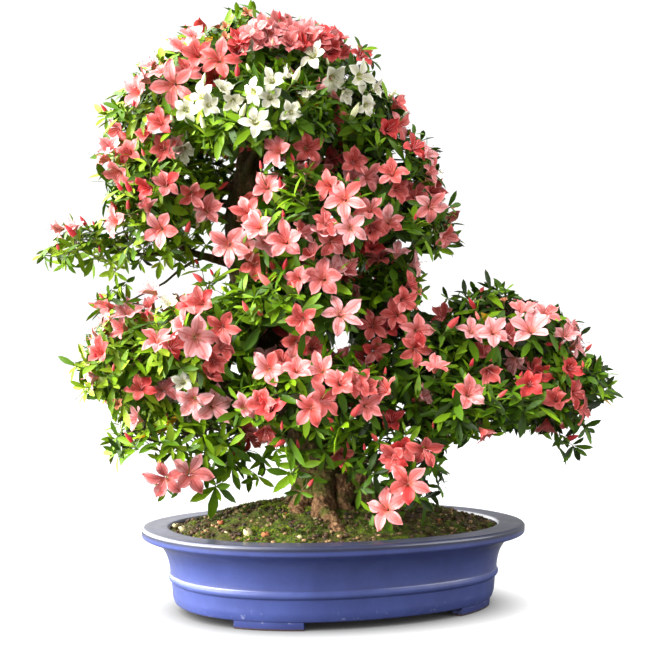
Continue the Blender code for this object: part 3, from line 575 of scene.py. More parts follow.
POT_COLUMNS = 220
SMALL_CORNER = 0.0008  # corners up to this radius have fewer points
POT_PROFILE = (  # inset from the outermost oval, height, radius of the corner: up, over the rim, down
    (0.0600, FOOT_HEIGHT + 0.0004, 0.0020), (0.0375, FOOT_HEIGHT, 0.0010),
    (0.0335, FOOT_HEIGHT + 0.0004, 0.0015), (0.0312, 0.0150, 0.0030), (0.0300, 0.0296, 0.0007),
    (0.0278, 0.0312, 0.0012), (0.0268, 0.0338, 0.0012), (0.0274, 0.0362, 0.0012),
    (0.0286, 0.0376, 0.0008), (0.0280, 0.0450, 0.0040), (0.0255, 0.0560, 0.0060),
    (0.0195, 0.0662, 0.0050), (0.0110, 0.0708, 0.0040), (0.0024, 0.0732, 0.0030),
    (0.0004, 0.0748, 0.0010), (0.0000, 0.0816, 0.0009), (0.0020, POT_HEIGHT, 0.0010),
    (0.0120, POT_HEIGHT - 0.0004, 0.0020), (RIM_WIDTH - 0.0010, POT_HEIGHT, 0.0010),
    (RIM_WIDTH + 0.0014, POT_HEIGHT - 0.0014, 0.0014), (RIM_WIDTH + 0.0030, 0.0740, 0.0030),
    (RIM_WIDTH + 0.0060, 0.0600, 0.0020),
)
FOOT_INSET = 0.0345
FOOT_STATIONS = 15
FOOT_SECTION = (  # inset and height, from the inner side down and out
    (FOOT_INSET + FOOT_WIDTH, FOOT_HEIGHT + 0.001), (FOOT_INSET + FOOT_WIDTH - 0.0006, 0.0004),
    (FOOT_INSET + FOOT_WIDTH - 0.0014, 0.0), (FOOT_INSET + 0.0010, 0.0),
    (FOOT_INSET + 0.0003, 0.0006), (FOOT_INSET - 0.0004, FOOT_HEIGHT + 0.001),
)
FOOT_CAP = ((0, 1, 4, 5), (1, 2, 3, 4))
SHARP_ANGLE = math.radians(50)


def oval_points(angles, inset, height):
    power = 2.0 / POT_OVAL
    c, s = np.cos(angles), np.sin(angles)
    x = (POT_HALF_LENGTH - inset) * np.sign(c) * np.abs(c) ** power
    y = (POT_HALF_DEPTH - inset) * np.sign(s) * np.abs(s) ** power
    return spun(np.stack([x, y, np.full_like(x, height)], -1), POT_TURN)


def round_corners(rows):
    """The places of a profile, each corner replaced by a short curve of about its radius."""
    places = [np.array(row[:2]) for row in rows]
    out = [places[0]]
    for before, corner, after, row in zip(places, places[1:], places[2:], rows[1:]):
        radius = row[2]
        start, end = (corner + way * min(radius / np.linalg.norm(way), 0.45)
                      for way in (before - corner, after - corner))
        steps = 5 if radius > SMALL_CORNER else 3
        out.extend(bezier((start, corner, end), np.linspace(0, 1, steps)))
    return out + [places[-1]]


def make_pot(finish):
    angles = 2 * math.pi * (np.arange(POT_COLUMNS) + 0.5) / POT_COLUMNS
    batch = Batch()
    rings = [oval_points(angles, inset, z) for inset, z in round_corners(POT_PROFILE)]
    batch.add(np.concatenate(rings), quads=grid_faces(len(rings), POT_COLUMNS))
    middle = rings[0].mean(0)
    batch.add(np.concatenate([rings[0], middle[None]]), fan(0, POT_COLUMNS, POT_COLUMNS)[:, ::-1])
    start, end = (math.radians(a) for a in FOOT_ANGLES)
    for first, last in ((start, end), (math.pi - end, math.pi - start),
                        (math.pi + start, math.pi + end), (2 * math.pi - end, 2 * math.pi - start)):
        stations = np.linspace(first, last, FOOT_STATIONS)
        rows = np.stack([oval_points(stations, inset, z) for inset, z in FOOT_SECTION], 1)
        batch.add(rows.reshape(-1, 3), quads=grid_faces(FOOT_STATIONS, len(FOOT_SECTION), False))
        for cap in (rows[0], rows[-1]):
            batch.add(cap, quads=FOOT_CAP)
    made = batch.piece("pot_glazed", [finish], "blue_glaze", ["pot"])
    made.data.set_sharp_from_angle(angle=SHARP_ANGLE)


# Soil

SOIL_COLUMNS, SOIL_RINGS = 260, 84
SOIL_SKIRT = 0.066  # height of the soil's lower edge, inside the pot
SOIL_GAP = 0.0012  # between the soil and the rim
MOUND_GAP = 0.0018  # between the foot of the mound and the rim
MOUND_LEVEL = 0.40  # share of the way out over which the mound stays level
MOUND_FALL = 0.85  # how much of the mound's rise is lost at its foot, before smoothing
CREST_HEIGHT, HOLLOW_DEPTH = 0.0018, 0.0008
SOIL_LUMPS = ((0.0026, 60.0, 0.0), (0.0030, 170.0, 3.0), (0.0014, 380.0, 5.0))  # height, scale, seed
FIELD = (0.19, 0.17)  # half width and half depth of the field where moss and grit are strewn
MOSS_CUSHIONS, CUSHION_TUFTS, TUFT_BLADES = 1500, 20, 4
CUSHION_RADII = (0.0022, 0.0052)
BLADE_HALF_WIDTH, BLADE_REACHES, BLADE_HEIGHTS = 0.0008, (0.0004, 0.0020), (0.0012, 0.0030)
BRIGHT_MOSS, GREEN_MOSS, LEAST_MOSS = 0.30, 0.10, 0.06  # how bright a place is for each
GRIT_COUNT = 4200
LEAST_GRIT, GRIT_SPREAD = 0.0007, 0.0021
USUAL_GRIT, BRIGHT_GRIT = (1, 1, 2, 2, 2, 2, 2, 4, 4), (0, 3)  # tints to draw from
GRIT_SEEN = (  # pixel, size and tint of the crumbs that stand out
    (173, 528, 0.0044, 0), (183, 530, 0.0046, 0), (248, 535, 0.0060, 0), (221, 524, 0.0040, 3),
    (266, 536, 0.0046, 3), (206, 532, 0.0032, 1), (300, 538, 0.0030, 0), (340, 537, 0.0030, 1),
    (456, 520, 0.0034, 2),
)
PEBBLE_ROWS, PEBBLE_COLUMNS, PEBBLE_FLATNESS = 4, 6, 0.7


def smooth_step(x):
    x = np.clip(x, 0.0, 1.0)
    return x * x * (3.0 - 2.0 * x)


def oval_ratio(x, y, inset):
    """How far out a place of the front view lies on the pot's oval less an inset: 1 on its edge."""
    c, s = math.cos(POT_TURN), math.sin(POT_TURN)
    u = (x * c + y * s) / (POT_HALF_LENGTH - inset)
    v = (y * c - x * s) / (POT_HALF_DEPTH - inset)
    return (np.abs(u) ** POT_OVAL + np.abs(v) ** POT_OVAL) ** (1 / POT_OVAL)


def soil_ratio(x, y):
    """How far out a place lies on the soil: 1 at the inner edge of the rim."""
    return oval_ratio(x, y, RIM_WIDTH)


def soil_height(x, y):
    """Height of the soil over a place of the front view, without its fine lumps."""
    ratio = oval_ratio(x, y, RIM_WIDTH + MOUND_GAP)
    px = x - MOUND_TOP[0]
    py = y - MOUND_TOP[1]
    flat = np.sqrt((px / MOUND_PLATEAU[0]) ** 2 + (py / MOUND_PLATEAU[1]) ** 2)
    out = np.clip((ratio - MOUND_LEVEL) / (1 - MOUND_LEVEL), 0.0, 1.0)
    rise = (GROUND - SOIL_EDGE) * smooth_step(1.0 - out * MOUND_FALL)
    crest = CREST_HEIGHT * np.exp(-((flat - 0.4) / 0.9) ** 2)
    hollow = HOLLOW_DEPTH * smooth_step((ratio - 0.9) / 0.1)
    return SOIL_EDGE + rise + crest - hollow


def make_soil(finish):
    angles = 2 * math.pi * np.arange(SOIL_COLUMNS) / SOIL_COLUMNS
    edge = oval_points(angles, RIM_WIDTH + SOIL_GAP, 0.0)[:, :2]
    points = []
    for share in np.linspace(1.0, 0.02, SOIL_RINGS) ** 0.85:
        xy = edge * share
        points.append(np.column_stack([xy, soil_height(xy[:, 0], xy[:, 1])]))
    points = np.concatenate(points)
    points[:, 2] += sum(height * noise_at(points, scale, seed) for height, scale, seed in SOIL_LUMPS)
    skirt = np.column_stack([edge, np.full(SOIL_COLUMNS, SOIL_SKIRT)])
    batch = Batch()
    batch.add(np.concatenate([skirt, points]), quads=grid_faces(SOIL_RINGS + 1, SOIL_COLUMNS))
    batch.piece("soil_surface", [finish], "moss_and_soil", ["soil"])


def strewn(rng, count, limit):
    """Random places on the soil, out to a limit of its ratio."""
    for _ in range(count):
        x = rng.uniform(-FIELD[0], FIELD[0])
        y = rng.uniform(-FIELD[1], FIELD[1])
        if soil_ratio(x, y) <= limit:
            yield x, y


def make_moss(finishes):
    """Cushions of moss, brighter on the left of the mound, each of many small blades."""
    rng = random.Random(SEED + 101)
    batch = Batch()
    for x, y in strewn(rng, MOSS_CUSHIONS, 0.95):
        patch = (0.8 * noise.noise(Vector((x * 18, y * 18, 4.0)))
                 + 0.5 * noise.noise(Vector((x * 70, y * 70, 1.0))))
        bright = patch + 0.44 * math.exp(-((x + 0.045) / 0.06) ** 2) - 1.3 * max(0, soil_ratio(x, y) - 0.60)
        if bright < LEAST_MOSS and rng.random() < 0.85:
            continue
        tint = 0 if bright > BRIGHT_MOSS else 1 if bright > GREEN_MOSS else 2
        wide = rng.uniform(*CUSHION_RADII)
        for _ in range(CUSHION_TUFTS):
            angle, share = rng.uniform(0, 2 * math.pi), math.sqrt(rng.random())
            px, py = x + wide * share * math.cos(angle), y + wide * share * math.sin(angle)
            dome = 0.55 * wide * (1 - share ** 2)
            base = np.array([px, py, float(soil_height(px, py)) - 0.0006 + dome])
            own = min(3, tint + 1) if rng.random() < 0.15 or share > 0.9 else tint
            for _ in range(TUFT_BLADES):
                turn = rng.uniform(0, 2 * math.pi)
                out = np.array([math.cos(turn), math.sin(turn), 0.0])
                side = np.array([-out[1], out[0], 0.0]) * BLADE_HALF_WIDTH
                tip = base + out * rng.uniform(*BLADE_REACHES) + (0, 0, rng.uniform(*BLADE_HEIGHTS))
                batch.add([base - side, base + side, tip], [(0, 1, 2)], tint=own)
    batch.piece("moss_tufts", finishes, "moss_and_soil", ["soil"], smooth=False)


def pebble(rng, centre, size):
    """A small irregular stone."""
    tall = size * PEBBLE_FLATNESS
    points = [centre + (0, 0, tall)]
    for r in range(PEBBLE_ROWS):
        fall = math.pi * (r + 1) / (PEBBLE_ROWS + 1)
        for k in range(PEBBLE_COLUMNS):
            turn = 2 * math.pi * (k + 0.5 * (r % 2)) / PEBBLE_COLUMNS
            reach = size * rng.uniform(0.60, 1.25)
            points.append(centre + reach * np.array([
                math.sin(fall) * math.cos(turn), math.sin(fall) * math.sin(turn),
                PEBBLE_FLATNESS * math.cos(fall)]))
    points.append(centre - (0, 0, tall))
    last = len(points) - 1
    tris = np.concatenate([fan(1, PEBBLE_COLUMNS, 0)[:, (2, 0, 1)],
                           fan(last - PEBBLE_COLUMNS, PEBBLE_COLUMNS, last)[:, ::-1]])
    return points, tris, grid_faces(PEBBLE_ROWS, PEBBLE_COLUMNS) + 1


def make_grit(finishes):
    rng = random.Random(SEED + 202)
    batch = Batch()
    for px, py, size, tint in GRIT_SEEN:
        batch.add(*pebble(rng, soil_place(px, py) + (0, 0, size * 0.35), size), tint)
    for x, y in strewn(rng, GRIT_COUNT, 0.985):
        size = LEAST_GRIT + GRIT_SPREAD * rng.random() ** 2
        z = float(soil_height(x, y)) + rng.uniform(-0.0005, 0.0015)
        stone = pebble(rng, np.array([x, y, z + size * 0.2]), size)
        tint = rng.choice(USUAL_GRIT) if rng.random() < 0.97 else rng.choice(BRIGHT_GRIT)
        batch.add(*stone, tint)
    batch.piece("soil_grit", finishes, "moss_and_soil", ["soil"])


def soil_place(px, py):
    """The place on the soil that falls on this pixel of the front view."""
    best = None
    for depth in np.linspace(-0.17, 0.1, 136):
        p = at_pixel(px, py, depth)
        ratio = soil_ratio(p[0], p[1])
        off = abs(p[2] - float(soil_height(p[0], p[1]))) + 0.1 * max(0.0, ratio - 0.96)
        if best is None or off < best[0]:
            best = (off, p * min(1.0, 0.96 / ratio))
    place = best[1]
    place[2] = float(soil_height(place[0], place[1]))
    return place


# Trunk and boughs

TRUNK_RELIEF, ROOT_RELIEF, BOUGH_RELIEF = 0.0019, 0.0030, 0.0005
TRUNK_SIDES = 150
TRUNK_HEIGHTS = np.concatenate([np.linspace(0.086, 0.15, 70), np.linspace(0.1515, TRUNK_TOP, 210)])
ROOT_COURSES = (  # start and end on the ground, height of the start, radii, sideways bow
    ((-0.007, -0.020), (0.003, -0.106), 0.024, 0.0074, 0.0062, -0.010),
    ((-0.014, -0.022), (-0.019, -0.080), 0.030, 0.0125, 0.0058, 0.004),
    ((-0.022, -0.018), (-0.038, -0.070), 0.030, 0.0125, 0.0056, -0.003),
    ((-0.030, 0.002), (-0.056, -0.008), 0.016, 0.0076, 0.0034, 0.004),
    ((-0.027, 0.014), (-0.050, 0.034), 0.016, 0.0080, 0.0036, -0.004),
    ((-0.010, 0.026), (-0.024, 0.080), 0.016, 0.0085, 0.0040, 0.008),
    ((0.014, 0.018), (0.066, 0.046), 0.014, 0.0085, 0.0038, -0.008),
    ((0.018, 0.002), (0.088, -0.012), 0.012, 0.0080, 0.0042, 0.008),
    ((0.002, -0.020), (0.009, -0.066), 0.026, 0.0105, 0.0050, 0.004),
)
ROOT_SIDES, ROOT_STATIONS = 44, 90
FRONT_STEM = np.array(((0.012, -0.004, 0.176), (0.024, -0.016, 0.158), (0.027, -0.028, 0.120),
                       (0.0265, -0.034, 0.092)))  # a second stem's course down the trunk's front
FRONT_STEM_RADIUS, FRONT_STEM_WIDENING = 0.0072, 0.0022
BOUGH_SIDES, BOUGH_STATIONS = 12, 25
BOUGH_WOBBLE = 0.006
SLIM_BOUGH = 0.0031  # radius below which a bough is made slimmer than its solid


def trunk_centre(height):
    course = TRUNK_COURSE
    low = 0
    while low < len(course) - 2 and height > course[low + 1][0]:
        low += 1
    before = course[max(low - 1, 0)]
    start, end = course[low], course[low + 1]
    after = course[min(low + 2, len(course) - 1)]
    share = (height - start[0]) / (end[0] - start[0])
    span = end[0] - start[0]
    values = []
    for k in (1, 2, 3):
        slope_in = (end[k] - before[k]) / max(end[0] - before[0], 1e-6) * span
        slope_out = (after[k] - start[k]) / max(after[0] - start[0], 1e-6) * span
        t, tt, ttt = share, share ** 2, share ** 3
        values.append((2 * ttt - 3 * tt + 1) * start[k] + (ttt - 2 * tt + t) * slope_in
                      + (3 * tt - 2 * ttt) * end[k] + (ttt - tt) * slope_out)
    return np.array([values[0], values[1], height]), values[2]


def root_swelling(bearing, height):
    share = math.exp(-(height - GROUND) / FLARE_HEIGHT)
    swelling = 0.0
    for root_bearing, reach, spread in ROOTS:
        off = (bearing - root_bearing + 180) % 360 - 180
        swelling += reach * math.exp(-(off / spread) ** 2)
    return swelling * share


def bark_relief(points, outward, amount, seed):
    """Ridges and scales of bark, moved along the outward directions."""
    stretched = points * (1.0, 1.0, 0.45)
    ridges = 1.0 - np.abs(noise_at(stretched, 115.0, seed)) * 2.6
    cracks = 1.0 - np.abs(noise_at(stretched, 260.0, seed + 9.0)) * 2.6
    scales = noise_at(points, 420.0, seed + 2.0)
    swell = noise_at(points, 48.0, seed + 5.0)
    relief = 0.45 * ridges + 0.42 * cracks + 0.45 * scales + 0.8 * swell
    return points + outward * (amount * relief)[:, None]


def make_trunk(finish):
    points, outward = [], []
    for z in TRUNK_HEIGHTS:
        centre, radius = trunk_centre(max(z, GROUND))
        centre[2] = z
        twist = 40.0 * (z - GROUND)
        for k in range(TRUNK_SIDES):
            turn = 360.0 * k / TRUNK_SIDES
            angle = math.radians(turn)
            flute = 0.05 * radius * math.sin(5 * angle + twist)
            flute += 0.035 * radius * math.sin(9 * angle - 60 * z)
            reach = radius + root_swelling(turn, max(z, GROUND)) + flute
            way = np.array([math.cos(angle), math.sin(angle), 0.0])
            points.append(centre + way * reach)
            outward.append(way)
    points = bark_relief(np.array(points), np.array(outward), TRUNK_RELIEF, 1.0)
    batch = Batch()
    batch.add(points, quads=grid_faces(len(TRUNK_HEIGHTS), TRUNK_SIDES))
    ring = points[-TRUNK_SIDES:]
    batch.add(np.concatenate([ring, ring.mean(0)[None] + (0, 0, 0.002)]), fan(0, TRUNK_SIDES, TRUNK_SIDES))
    batch.piece("trunk_with_bark", [finish], "trunk_bark", ["trunk"])


def barked_tube(line, core, radii, sides, amount, seed):
    """A tube whose bark rises away from its core line."""
    points, tris, quads = tube(line, radii, sides)
    centres = np.concatenate([np.repeat(core, sides, 0), core[-1:]])
    return bark_relief(points, unit(points - centres), amount, seed), tris, quads


def make_roots(finish):
    """Roots that run down the trunk's foot and over the mound, half sunk in it."""
    batch = Batch()
    t = np.linspace(0, 1, ROOT_STATIONS)
    lines = [(bezier(FRONT_STEM, t), FRONT_STEM_RADIUS + FRONT_STEM_WIDENING * t)]
    for number, (start, end, rise, thick, thin, bow) in enumerate(ROOT_COURSES):
        flat = np.outer(1 - t, start) + np.outer(t, end)
        aside = unit(np.array([start[1] - end[1], end[0] - start[0]]))
        sway = bow * np.sin(math.pi * t) + 0.004 * np.sin(9.0 * t + 2.3 * number) * t * (1 - t) * 4
        flat += np.outer(sway, aside)
        ground = soil_height(flat[:, 0], flat[:, 1])
        line = np.column_stack([flat, ground + rise * (1 - t) ** 2.0 - 0.005 * t ** 3])
        lines.append((line, thick + (thin - thick) * t))
    for number, (line, radii) in enumerate(lines):
        batch.add(*barked_tube(line, line, radii, ROOT_SIDES, ROOT_RELIEF, 7.0 + number))
    batch.piece("surface_roots", [finish], "trunk_bark", ["trunk"])


def reach_share(name, point):
    centre, (side, depth, up, down) = PADS[name]
    way = np.asarray(point) - centre
    tall = np.where(way[..., 2] > 0, up, down)
    return np.sqrt((way[..., 0] / side) ** 2 + (way[..., 1] / depth) ** 2 + (way[..., 2] / tall) ** 2)


def bough_line(name, lines):
    """Centre line and radii of the bough that carries a pad."""
    parent, place, radius, rise = BOUGHS[name]
    if parent == "trunk":
        start = trunk_centre(place)[0]
    else:
        line = lines[parent][0]
        at = place * (len(line) - 1)
        low = min(int(at), len(line) - 2)
        start = line[low] + (line[low + 1] - line[low]) * (at - low)
    centre = np.array(PADS[name][0])
    end = centre + (start - centre) * min(BOUGH_ENTRY / float(reach_share(name, start)), 0.8)
    middle = (start + end) / 2 + (0, 0, rise * 2)
    t = np.linspace(0, 1, BOUGH_STATIONS)
    return bezier((start, middle, end), t), radius * (1 - (1 - BOUGH_TAPER) * t)


def make_boughs(lines, finish):
    batch = Batch()
    for number, (line, radii) in enumerate(lines.values()):
        wobble = np.stack([noise_at(line, 26.0, seed + number) for seed in (11.0, 31.0, 51.0)], -1)
        bow = np.sin(np.linspace(0, math.pi, len(line)))[:, None]
        knots = 1 + 0.10 * noise_at(line, 120.0, 3.0 + number)
        slim = 0.62 if radii[0] < SLIM_BOUGH else 0.92
        batch.add(*barked_tube(line + wobble * bow * BOUGH_WOBBLE, line, radii * knots * slim, BOUGH_SIDES,
                               BOUGH_RELIEF, 2.0 + number))
    batch.piece("boughs_with_bark", [finish], "bough_bark", ["bough_" + name for name in BOUGHS])


# Leaves, blossom and buds

LEAF_ROWS = ((0.22, 0.55), (0.55, 1.0), (0.82, 0.70))  # place along the leaf, share of its width


def leaf_template(fold, curl, half_width):
    """A lance-shaped leaf along X, a unit long: a point, three rows of three, and its tip."""
    points = [(0.0, 0.0, 0.0)]
    for t, width in LEAF_ROWS:
        y = width * half_width
        drop = -curl * t * t
        points += [(t, -y, drop + fold * y), (t, 0.0, drop), (t, y, drop + fold * y)]
    points.append((1.0, 0.0, -curl))
    return np.array(points)


LEAF_TRIS = np.array([(0, 2, 1), (0, 3, 2), (7, 8, 10), (8, 9, 10)])
LEAF_QUADS = np.array([(1, 2, 5, 4), (2, 3, 6, 5), (4, 5, 8, 7), (5, 6, 9, 8)])
LEAF_SHAPES = [leaf_template(fold, curl, half) for fold, curl, half in (
    (0.35, 0.10, 0.150), (0.20, 0.18, 0.140), (0.45, 0.04, 0.160), (0.30, -0.06, 0.135),
    (0.15, 0.26, 0.155), (0.40, 0.14, 0.130))]
PETAL_ROWS = (  # along a petal: reach outwards, rise, half width, against the petal's length
    (0.05, 0.10, 0.040),
    (0.12, 0.24, 0.086),
    (0.22, 0.34, 0.155),
    (0.38, 0.42, 0.245),
    (0.56, 0.47, 0.288),
    (0.74, 0.485, 0.242),
    (0.88, 0.475, 0.142),
    (0.97, 0.46, 0.052),
)
PETAL_COLUMNS = (-1.0, -0.62, -0.13, 0.13, 0.62, 1.0)


def petal_faces():
    """Faces of one petal with their tints: 0 throat, 1 middle line, 2 blade, 3 margin."""
    quads, tints = [], []
    columns = len(PETAL_COLUMNS)
    for r in range(len(PETAL_ROWS) - 1):
        for c in range(columns - 1):
            low = r * columns + c
            quads.append((low, low + 1, low + columns + 1, low + columns))
            margin = c in (0, columns - 2) and r > 2
            tints.append(0 if r < 2 else 1 if c == 2 and r < 6 else 3 if margin else 2)
    last = (len(PETAL_ROWS) - 1) * columns
    tip = last + columns
    tris = [(last + c, last + c + 1, tip) for c in range(columns - 1)]
    return np.array(tris), np.array(quads), np.array(tints)


PETAL_TRIS, PETAL_QUADS, PETAL_TINTS = petal_faces()
THROAT_END = 0.21  # how far out a petal's throat ends
STAMEN_RADII = (0.00030, 0.00026, 0.00022, 0.00020)
ANTHER_RADII = (0.0002, 0.0004, 0.0002)
BUD_ROWS = (  # place along a bud, radius against its length
    (0.0, 0.05), (0.10, 0.10), (0.28, 0.150), (0.5, 0.165), (0.72, 0.125), (0.9, 0.055), (1.0, 0.012),
)


def flower(rng, opening):
    """Petals of one flower a unit in radius, its base at the origin, facing +Z."""
    petals = []
    turn = rng.uniform(0, 2 * math.pi)
    spread = 0.32 + 0.68 * opening
    for k in range(5):
        angle = turn + 2 * math.pi * k / 5 + rng.uniform(-0.10, 0.10)
        long = rng.uniform(0.86, 1.12)
        wide = rng.uniform(0.86, 1.10)
        pitch = rng.uniform(-0.34, 0.42)
        bend = rng.uniform(-0.20, 0.20)
        phase = rng.uniform(0, 6.28)
        points = []
        for row, (out, rise, half) in enumerate(PETAL_ROWS):
            share = row / len(PETAL_ROWS)
            free = max(0.0, out - THROAT_END) / (1 - THROAT_END)
            reach = out if row < 3 else THROAT_END + (out - THROAT_END) * long
            reach *= spread if row > 1 else 1.0
            lift = rise + (1 - opening) * free * 0.75 + pitch * free * 0.8 - 0.12 * free ** 2
            for v in PETAL_COLUMNS:
                cup = half * (0.34 * abs(v) * (1 - 1.3 * free) + 0.12 * v * v * (1.4 - opening))
                wave = 0.066 * free * abs(v) * math.sin(9.0 * share + phase + 2.0 * v)
                points.append((reach, v * half * wide + bend * free * free, lift + cup + wave))
        points.append((THROAT_END + 0.81 * long * spread, bend,
                       0.52 + (1 - opening) * 0.75 + pitch * 0.8 - 0.10))
        petals.append(spun(points, angle))
    return petals


def frame_on(axis, spin):
    """Two directions square to an axis and the axis, as rows."""
    axis = unit(axis)
    first = unit(np.cross(axis, (0.21, 0.35, 0.91) if abs(axis[2]) < 0.9 else (1.0, 0.0, 0.2)))
    second = np.cross(axis, first)
    c, s = math.cos(spin), math.sin(spin)
    return np.stack([first * c + second * s, second * c - first * s, axis])


class Plant:
    """Everything that grows on the boughs, gathered by kind."""

    def __init__(self):
        self.leaves = {group: [] for group in LEAF_GROUPS}
        self.twigs = Batch()
        self.pink = Batch()
        self.white = Batch()
        self.stamens = Batch()
        self.buds = Batch()

    def add_whorl(self, group, tip, axis, rng, count, length, tints, spread=1.0, kept=False):
        """Leaves round a shoot's tip: an open outer ring and a few small upright ones."""
        basis = frame_on(axis, rng.uniform(0, 6.28))
        for k in range(count):
            young = k >= count - 2 and count > 4
            angle = GOLDEN_ANGLE * k + rng.uniform(-0.25, 0.25)
            lift = rng.uniform(0.75, 1.15) if young else rng.uniform(-0.05, 0.62)
            out = basis[0] * math.cos(angle) + basis[1] * math.sin(angle)
            way = unit(out * math.cos(lift) * spread + basis[2] * math.sin(lift) + (0, 0, -0.10))
            size = length * (rng.uniform(0.5, 0.7) if young else rng.uniform(0.78, 1.15))
            base = tip - basis[2] * (0.0 if young else rng.uniform(0.0, 0.006))
            ends = base + np.outer((1.0, 0.75, 0.5), way * size)
            if hides_hero(ends, 0.5 if kept else CLEAR_ROUND_BLOOM).any():
                continue
            if not kept and (in_windows(ends, SKY, -1.0).any() or hides_trunk(ends)):
                continue
            up = strayed(basis[2], rng, 0.35, 0.25)
            tint = tints[1] if young else rng.choice(tints)
            self.leaves[group].append((base, way, up, size, tint, rng.randrange(len(LEAF_SHAPES))))

    def add_flower(self, base, axis, rng, size, opening, tone):
        white = tone == "white"
        batch = self.white if white else self.pink
        first = 0 if white else len(PETAL_PARTS) * PINK_TONES.index(tone)
        basis = frame_on(axis, rng.uniform(0, 6.28))
        for petal in flower(rng, opening):
            own = first
            if tone in ("salmon", "coral") and rng.random() < 0.22:
                own += len(PETAL_PARTS) * rng.choice((-1, 1))
            parts = [rng.choice((1, 3)) if part == 2 and rng.random() < 0.16 else part
                     for part in PETAL_TINTS]
            batch.add(base + petal @ basis * size, PETAL_TRIS, PETAL_QUADS, own + 3,
                      own + np.array(parts))
        if tone != "withered":
            self.add_stamens(base, basis, rng, size, int(white))

    def add_stamens(self, base, basis, rng, size, tint):
        """Four stamens and the longer style, each with a small dark end."""
        for k in range(5):
            angle = k * 1.25 + rng.uniform(-0.3, 0.3)
            spread = rng.uniform(0.06, 0.20)
            long = rng.uniform(0.60, 0.85) if k < 4 else 0.98
            line = spun([[0, 0, 0.12], [spread * 0.35, 0, 0.5 * long],
                         [spread * 1.1, 0, 0.9 * long], [spread * 1.6, 0, long * 1.05]], angle)
            self.stamens.add(*tube(base + line @ basis * size, STAMEN_RADII, 3), tint)
            end = base + line[-1] @ basis * size
            anther = [end, end + basis[2] * 0.0005, end + basis[2] * 0.0010]
            self.stamens.add(*tube(anther, ANTHER_RADII, 4), 2)

    def add_bud(self, base, axis, rng, length, tone):
        tint = {"salmon": 2, "cream": 3}.get(tone, rng.choice((0, 1)))
        t, radii = np.array(BUD_ROWS).T
        radii = length * radii * rng.uniform(0.9, 1.1)
        bend = frame_on(axis, rng.uniform(0, 6.28))[0] * 0.08 * length
        line = base + np.outer(t, axis) * length + np.outer(t * t, bend)
        sides = 6
        tints = np.repeat([4, 4, tint, tint, tint, tint], sides)
        self.buds.add(*tube(line, radii, sides, rng.uniform(0, 1)), tint, tints)


def hides_trunk(points):
    """Whether a point would hide the trunk where the photograph shows it."""
    return bool((in_windows(points, TRUNK_SEEN) & (points[..., 1] < 0.0)).any())


def pad_weight(name):
    side, depth, up, down = PADS[name][1]
    return (side + depth + DEPTH_SCALE * (up + down) / 2) / 3


def own_space(name):
    """Borders of a pad's space against its neighbours."""
    scale = np.array([1.0, 1.0, DEPTH_SCALE])
    centre = np.array(PADS[name][0]) * scale
    borders = []
    for other, (place, _) in PADS.items():
        if other == name:
            continue
        away = np.array(place) * scale - centre
        span = np.linalg.norm(away)
        share = 0.5 + (pad_weight(name) ** 2 - pad_weight(other) ** 2) / (2 * span ** 2)
        normal = away / span
        borders.append((normal * scale, normal.dot(centre) + span * share))
    return borders


def is_own(point, borders, spare=0.0):
    return all(normal.dot(point) <= limit + spare for normal, limit in borders)


LAYERS = (  # share of the reach, spacing of the shoots in metres, lowest direction
    (0.84, 0.0180, -0.80),
    (0.68, 0.0210, -0.60),
    (0.50, 0.0240, -0.30),
)
AIRY_SHARE = 0.62  # shoots on an airy pad, against a dense one
OVAL_POWER = 1.6  # of the common formula for an ellipsoid's surface
CLEAR_OF_TRUNK = 0.008
STEM_END, AIRY_STEM_END = 0.0017, 0.0008  # radii of a pad's stem at its middle
TWIG_RADIUS, TWIG_POWER, TWIG_LEAST = 0.00046, 0.42, 0.00006  # by the shoots that a twig carries
TWIG_TIP = 0.0006
APEX_STEM_HEIGHT, APEX_STEM_RADIUS = 0.49, 0.0050
CLEAR_OF_SOIL = 0.020


def pad_shoots(name, rng, heroes):
    """Tips of a pad's shoots, from the inside out: place, axis, layer, and a hero bloom or none."""
    centre, (side, depth, up, down) = PADS[name]
    centre = np.array(centre)
    borders = own_space(name)
    tall = (up + down) / 2
    area = 4 * math.pi * ((side * depth) ** OVAL_POWER / 3 + (side * tall) ** OVAL_POWER / 3
                          + (depth * tall) ** OVAL_POWER / 3) ** (1 / OVAL_POWER)
    airy = AIRY_SHARE if name in AIRY_PADS else 1.0
    shoots = [(hero["base"], hero["axis"], 0, hero) for hero in heroes]
    for layer, (share, spacing, lowest) in enumerate(LAYERS):
        count = int(airy * area * share ** 2 * (1 - lowest) / 2 / spacing ** 2)
        turn = rng.uniform(0, 2 * math.pi)
        for k in range(count):
            z = 1 - (k + rng.uniform(0.1, 0.9)) / count * (1 - lowest)
            flat = math.sqrt(1 - z * z)
            angle = turn + GOLDEN_ANGLE * k + rng.uniform(-0.1, 0.1)
            way = np.array([math.cos(angle) * flat, math.sin(angle) * flat, z])
            reach = (side, depth, up if z > 0 else down)
            tip = centre + way * reach * (share * rng.uniform(0.90, 1.06))
            axis = strayed(unit(way / reach), rng, 0.3, UPWARD_PULL)
            if has_room(tip, borders):
                shoots.append((tip, axis, layer, None))
    shoots.sort(key=lambda s: np.linalg.norm(s[0] - centre))
    return shoots


def has_room(tip, borders):
    """Whether a shoot may end here: in its pad's own space, and clear of all that stays in sight."""
    if not is_own(tip, borders, 0.004) or in_windows(tip, SKY, 3.0) or hides_trunk(tip[None]):
        return False
    if tip[2] < float(soil_height(tip[0], tip[1])) + CLEAR_OF_SOIL:
        return False
    trunk, thick = trunk_centre(min(max(tip[2], GROUND), TRUNK_TOP))
    if np.linalg.norm((tip - trunk)[:2]) < thick + CLEAR_OF_TRUNK and tip[2] < TRUNK_TOP:
        return False
    return not hides_hero(tip, 1.0, 3.0)[0]


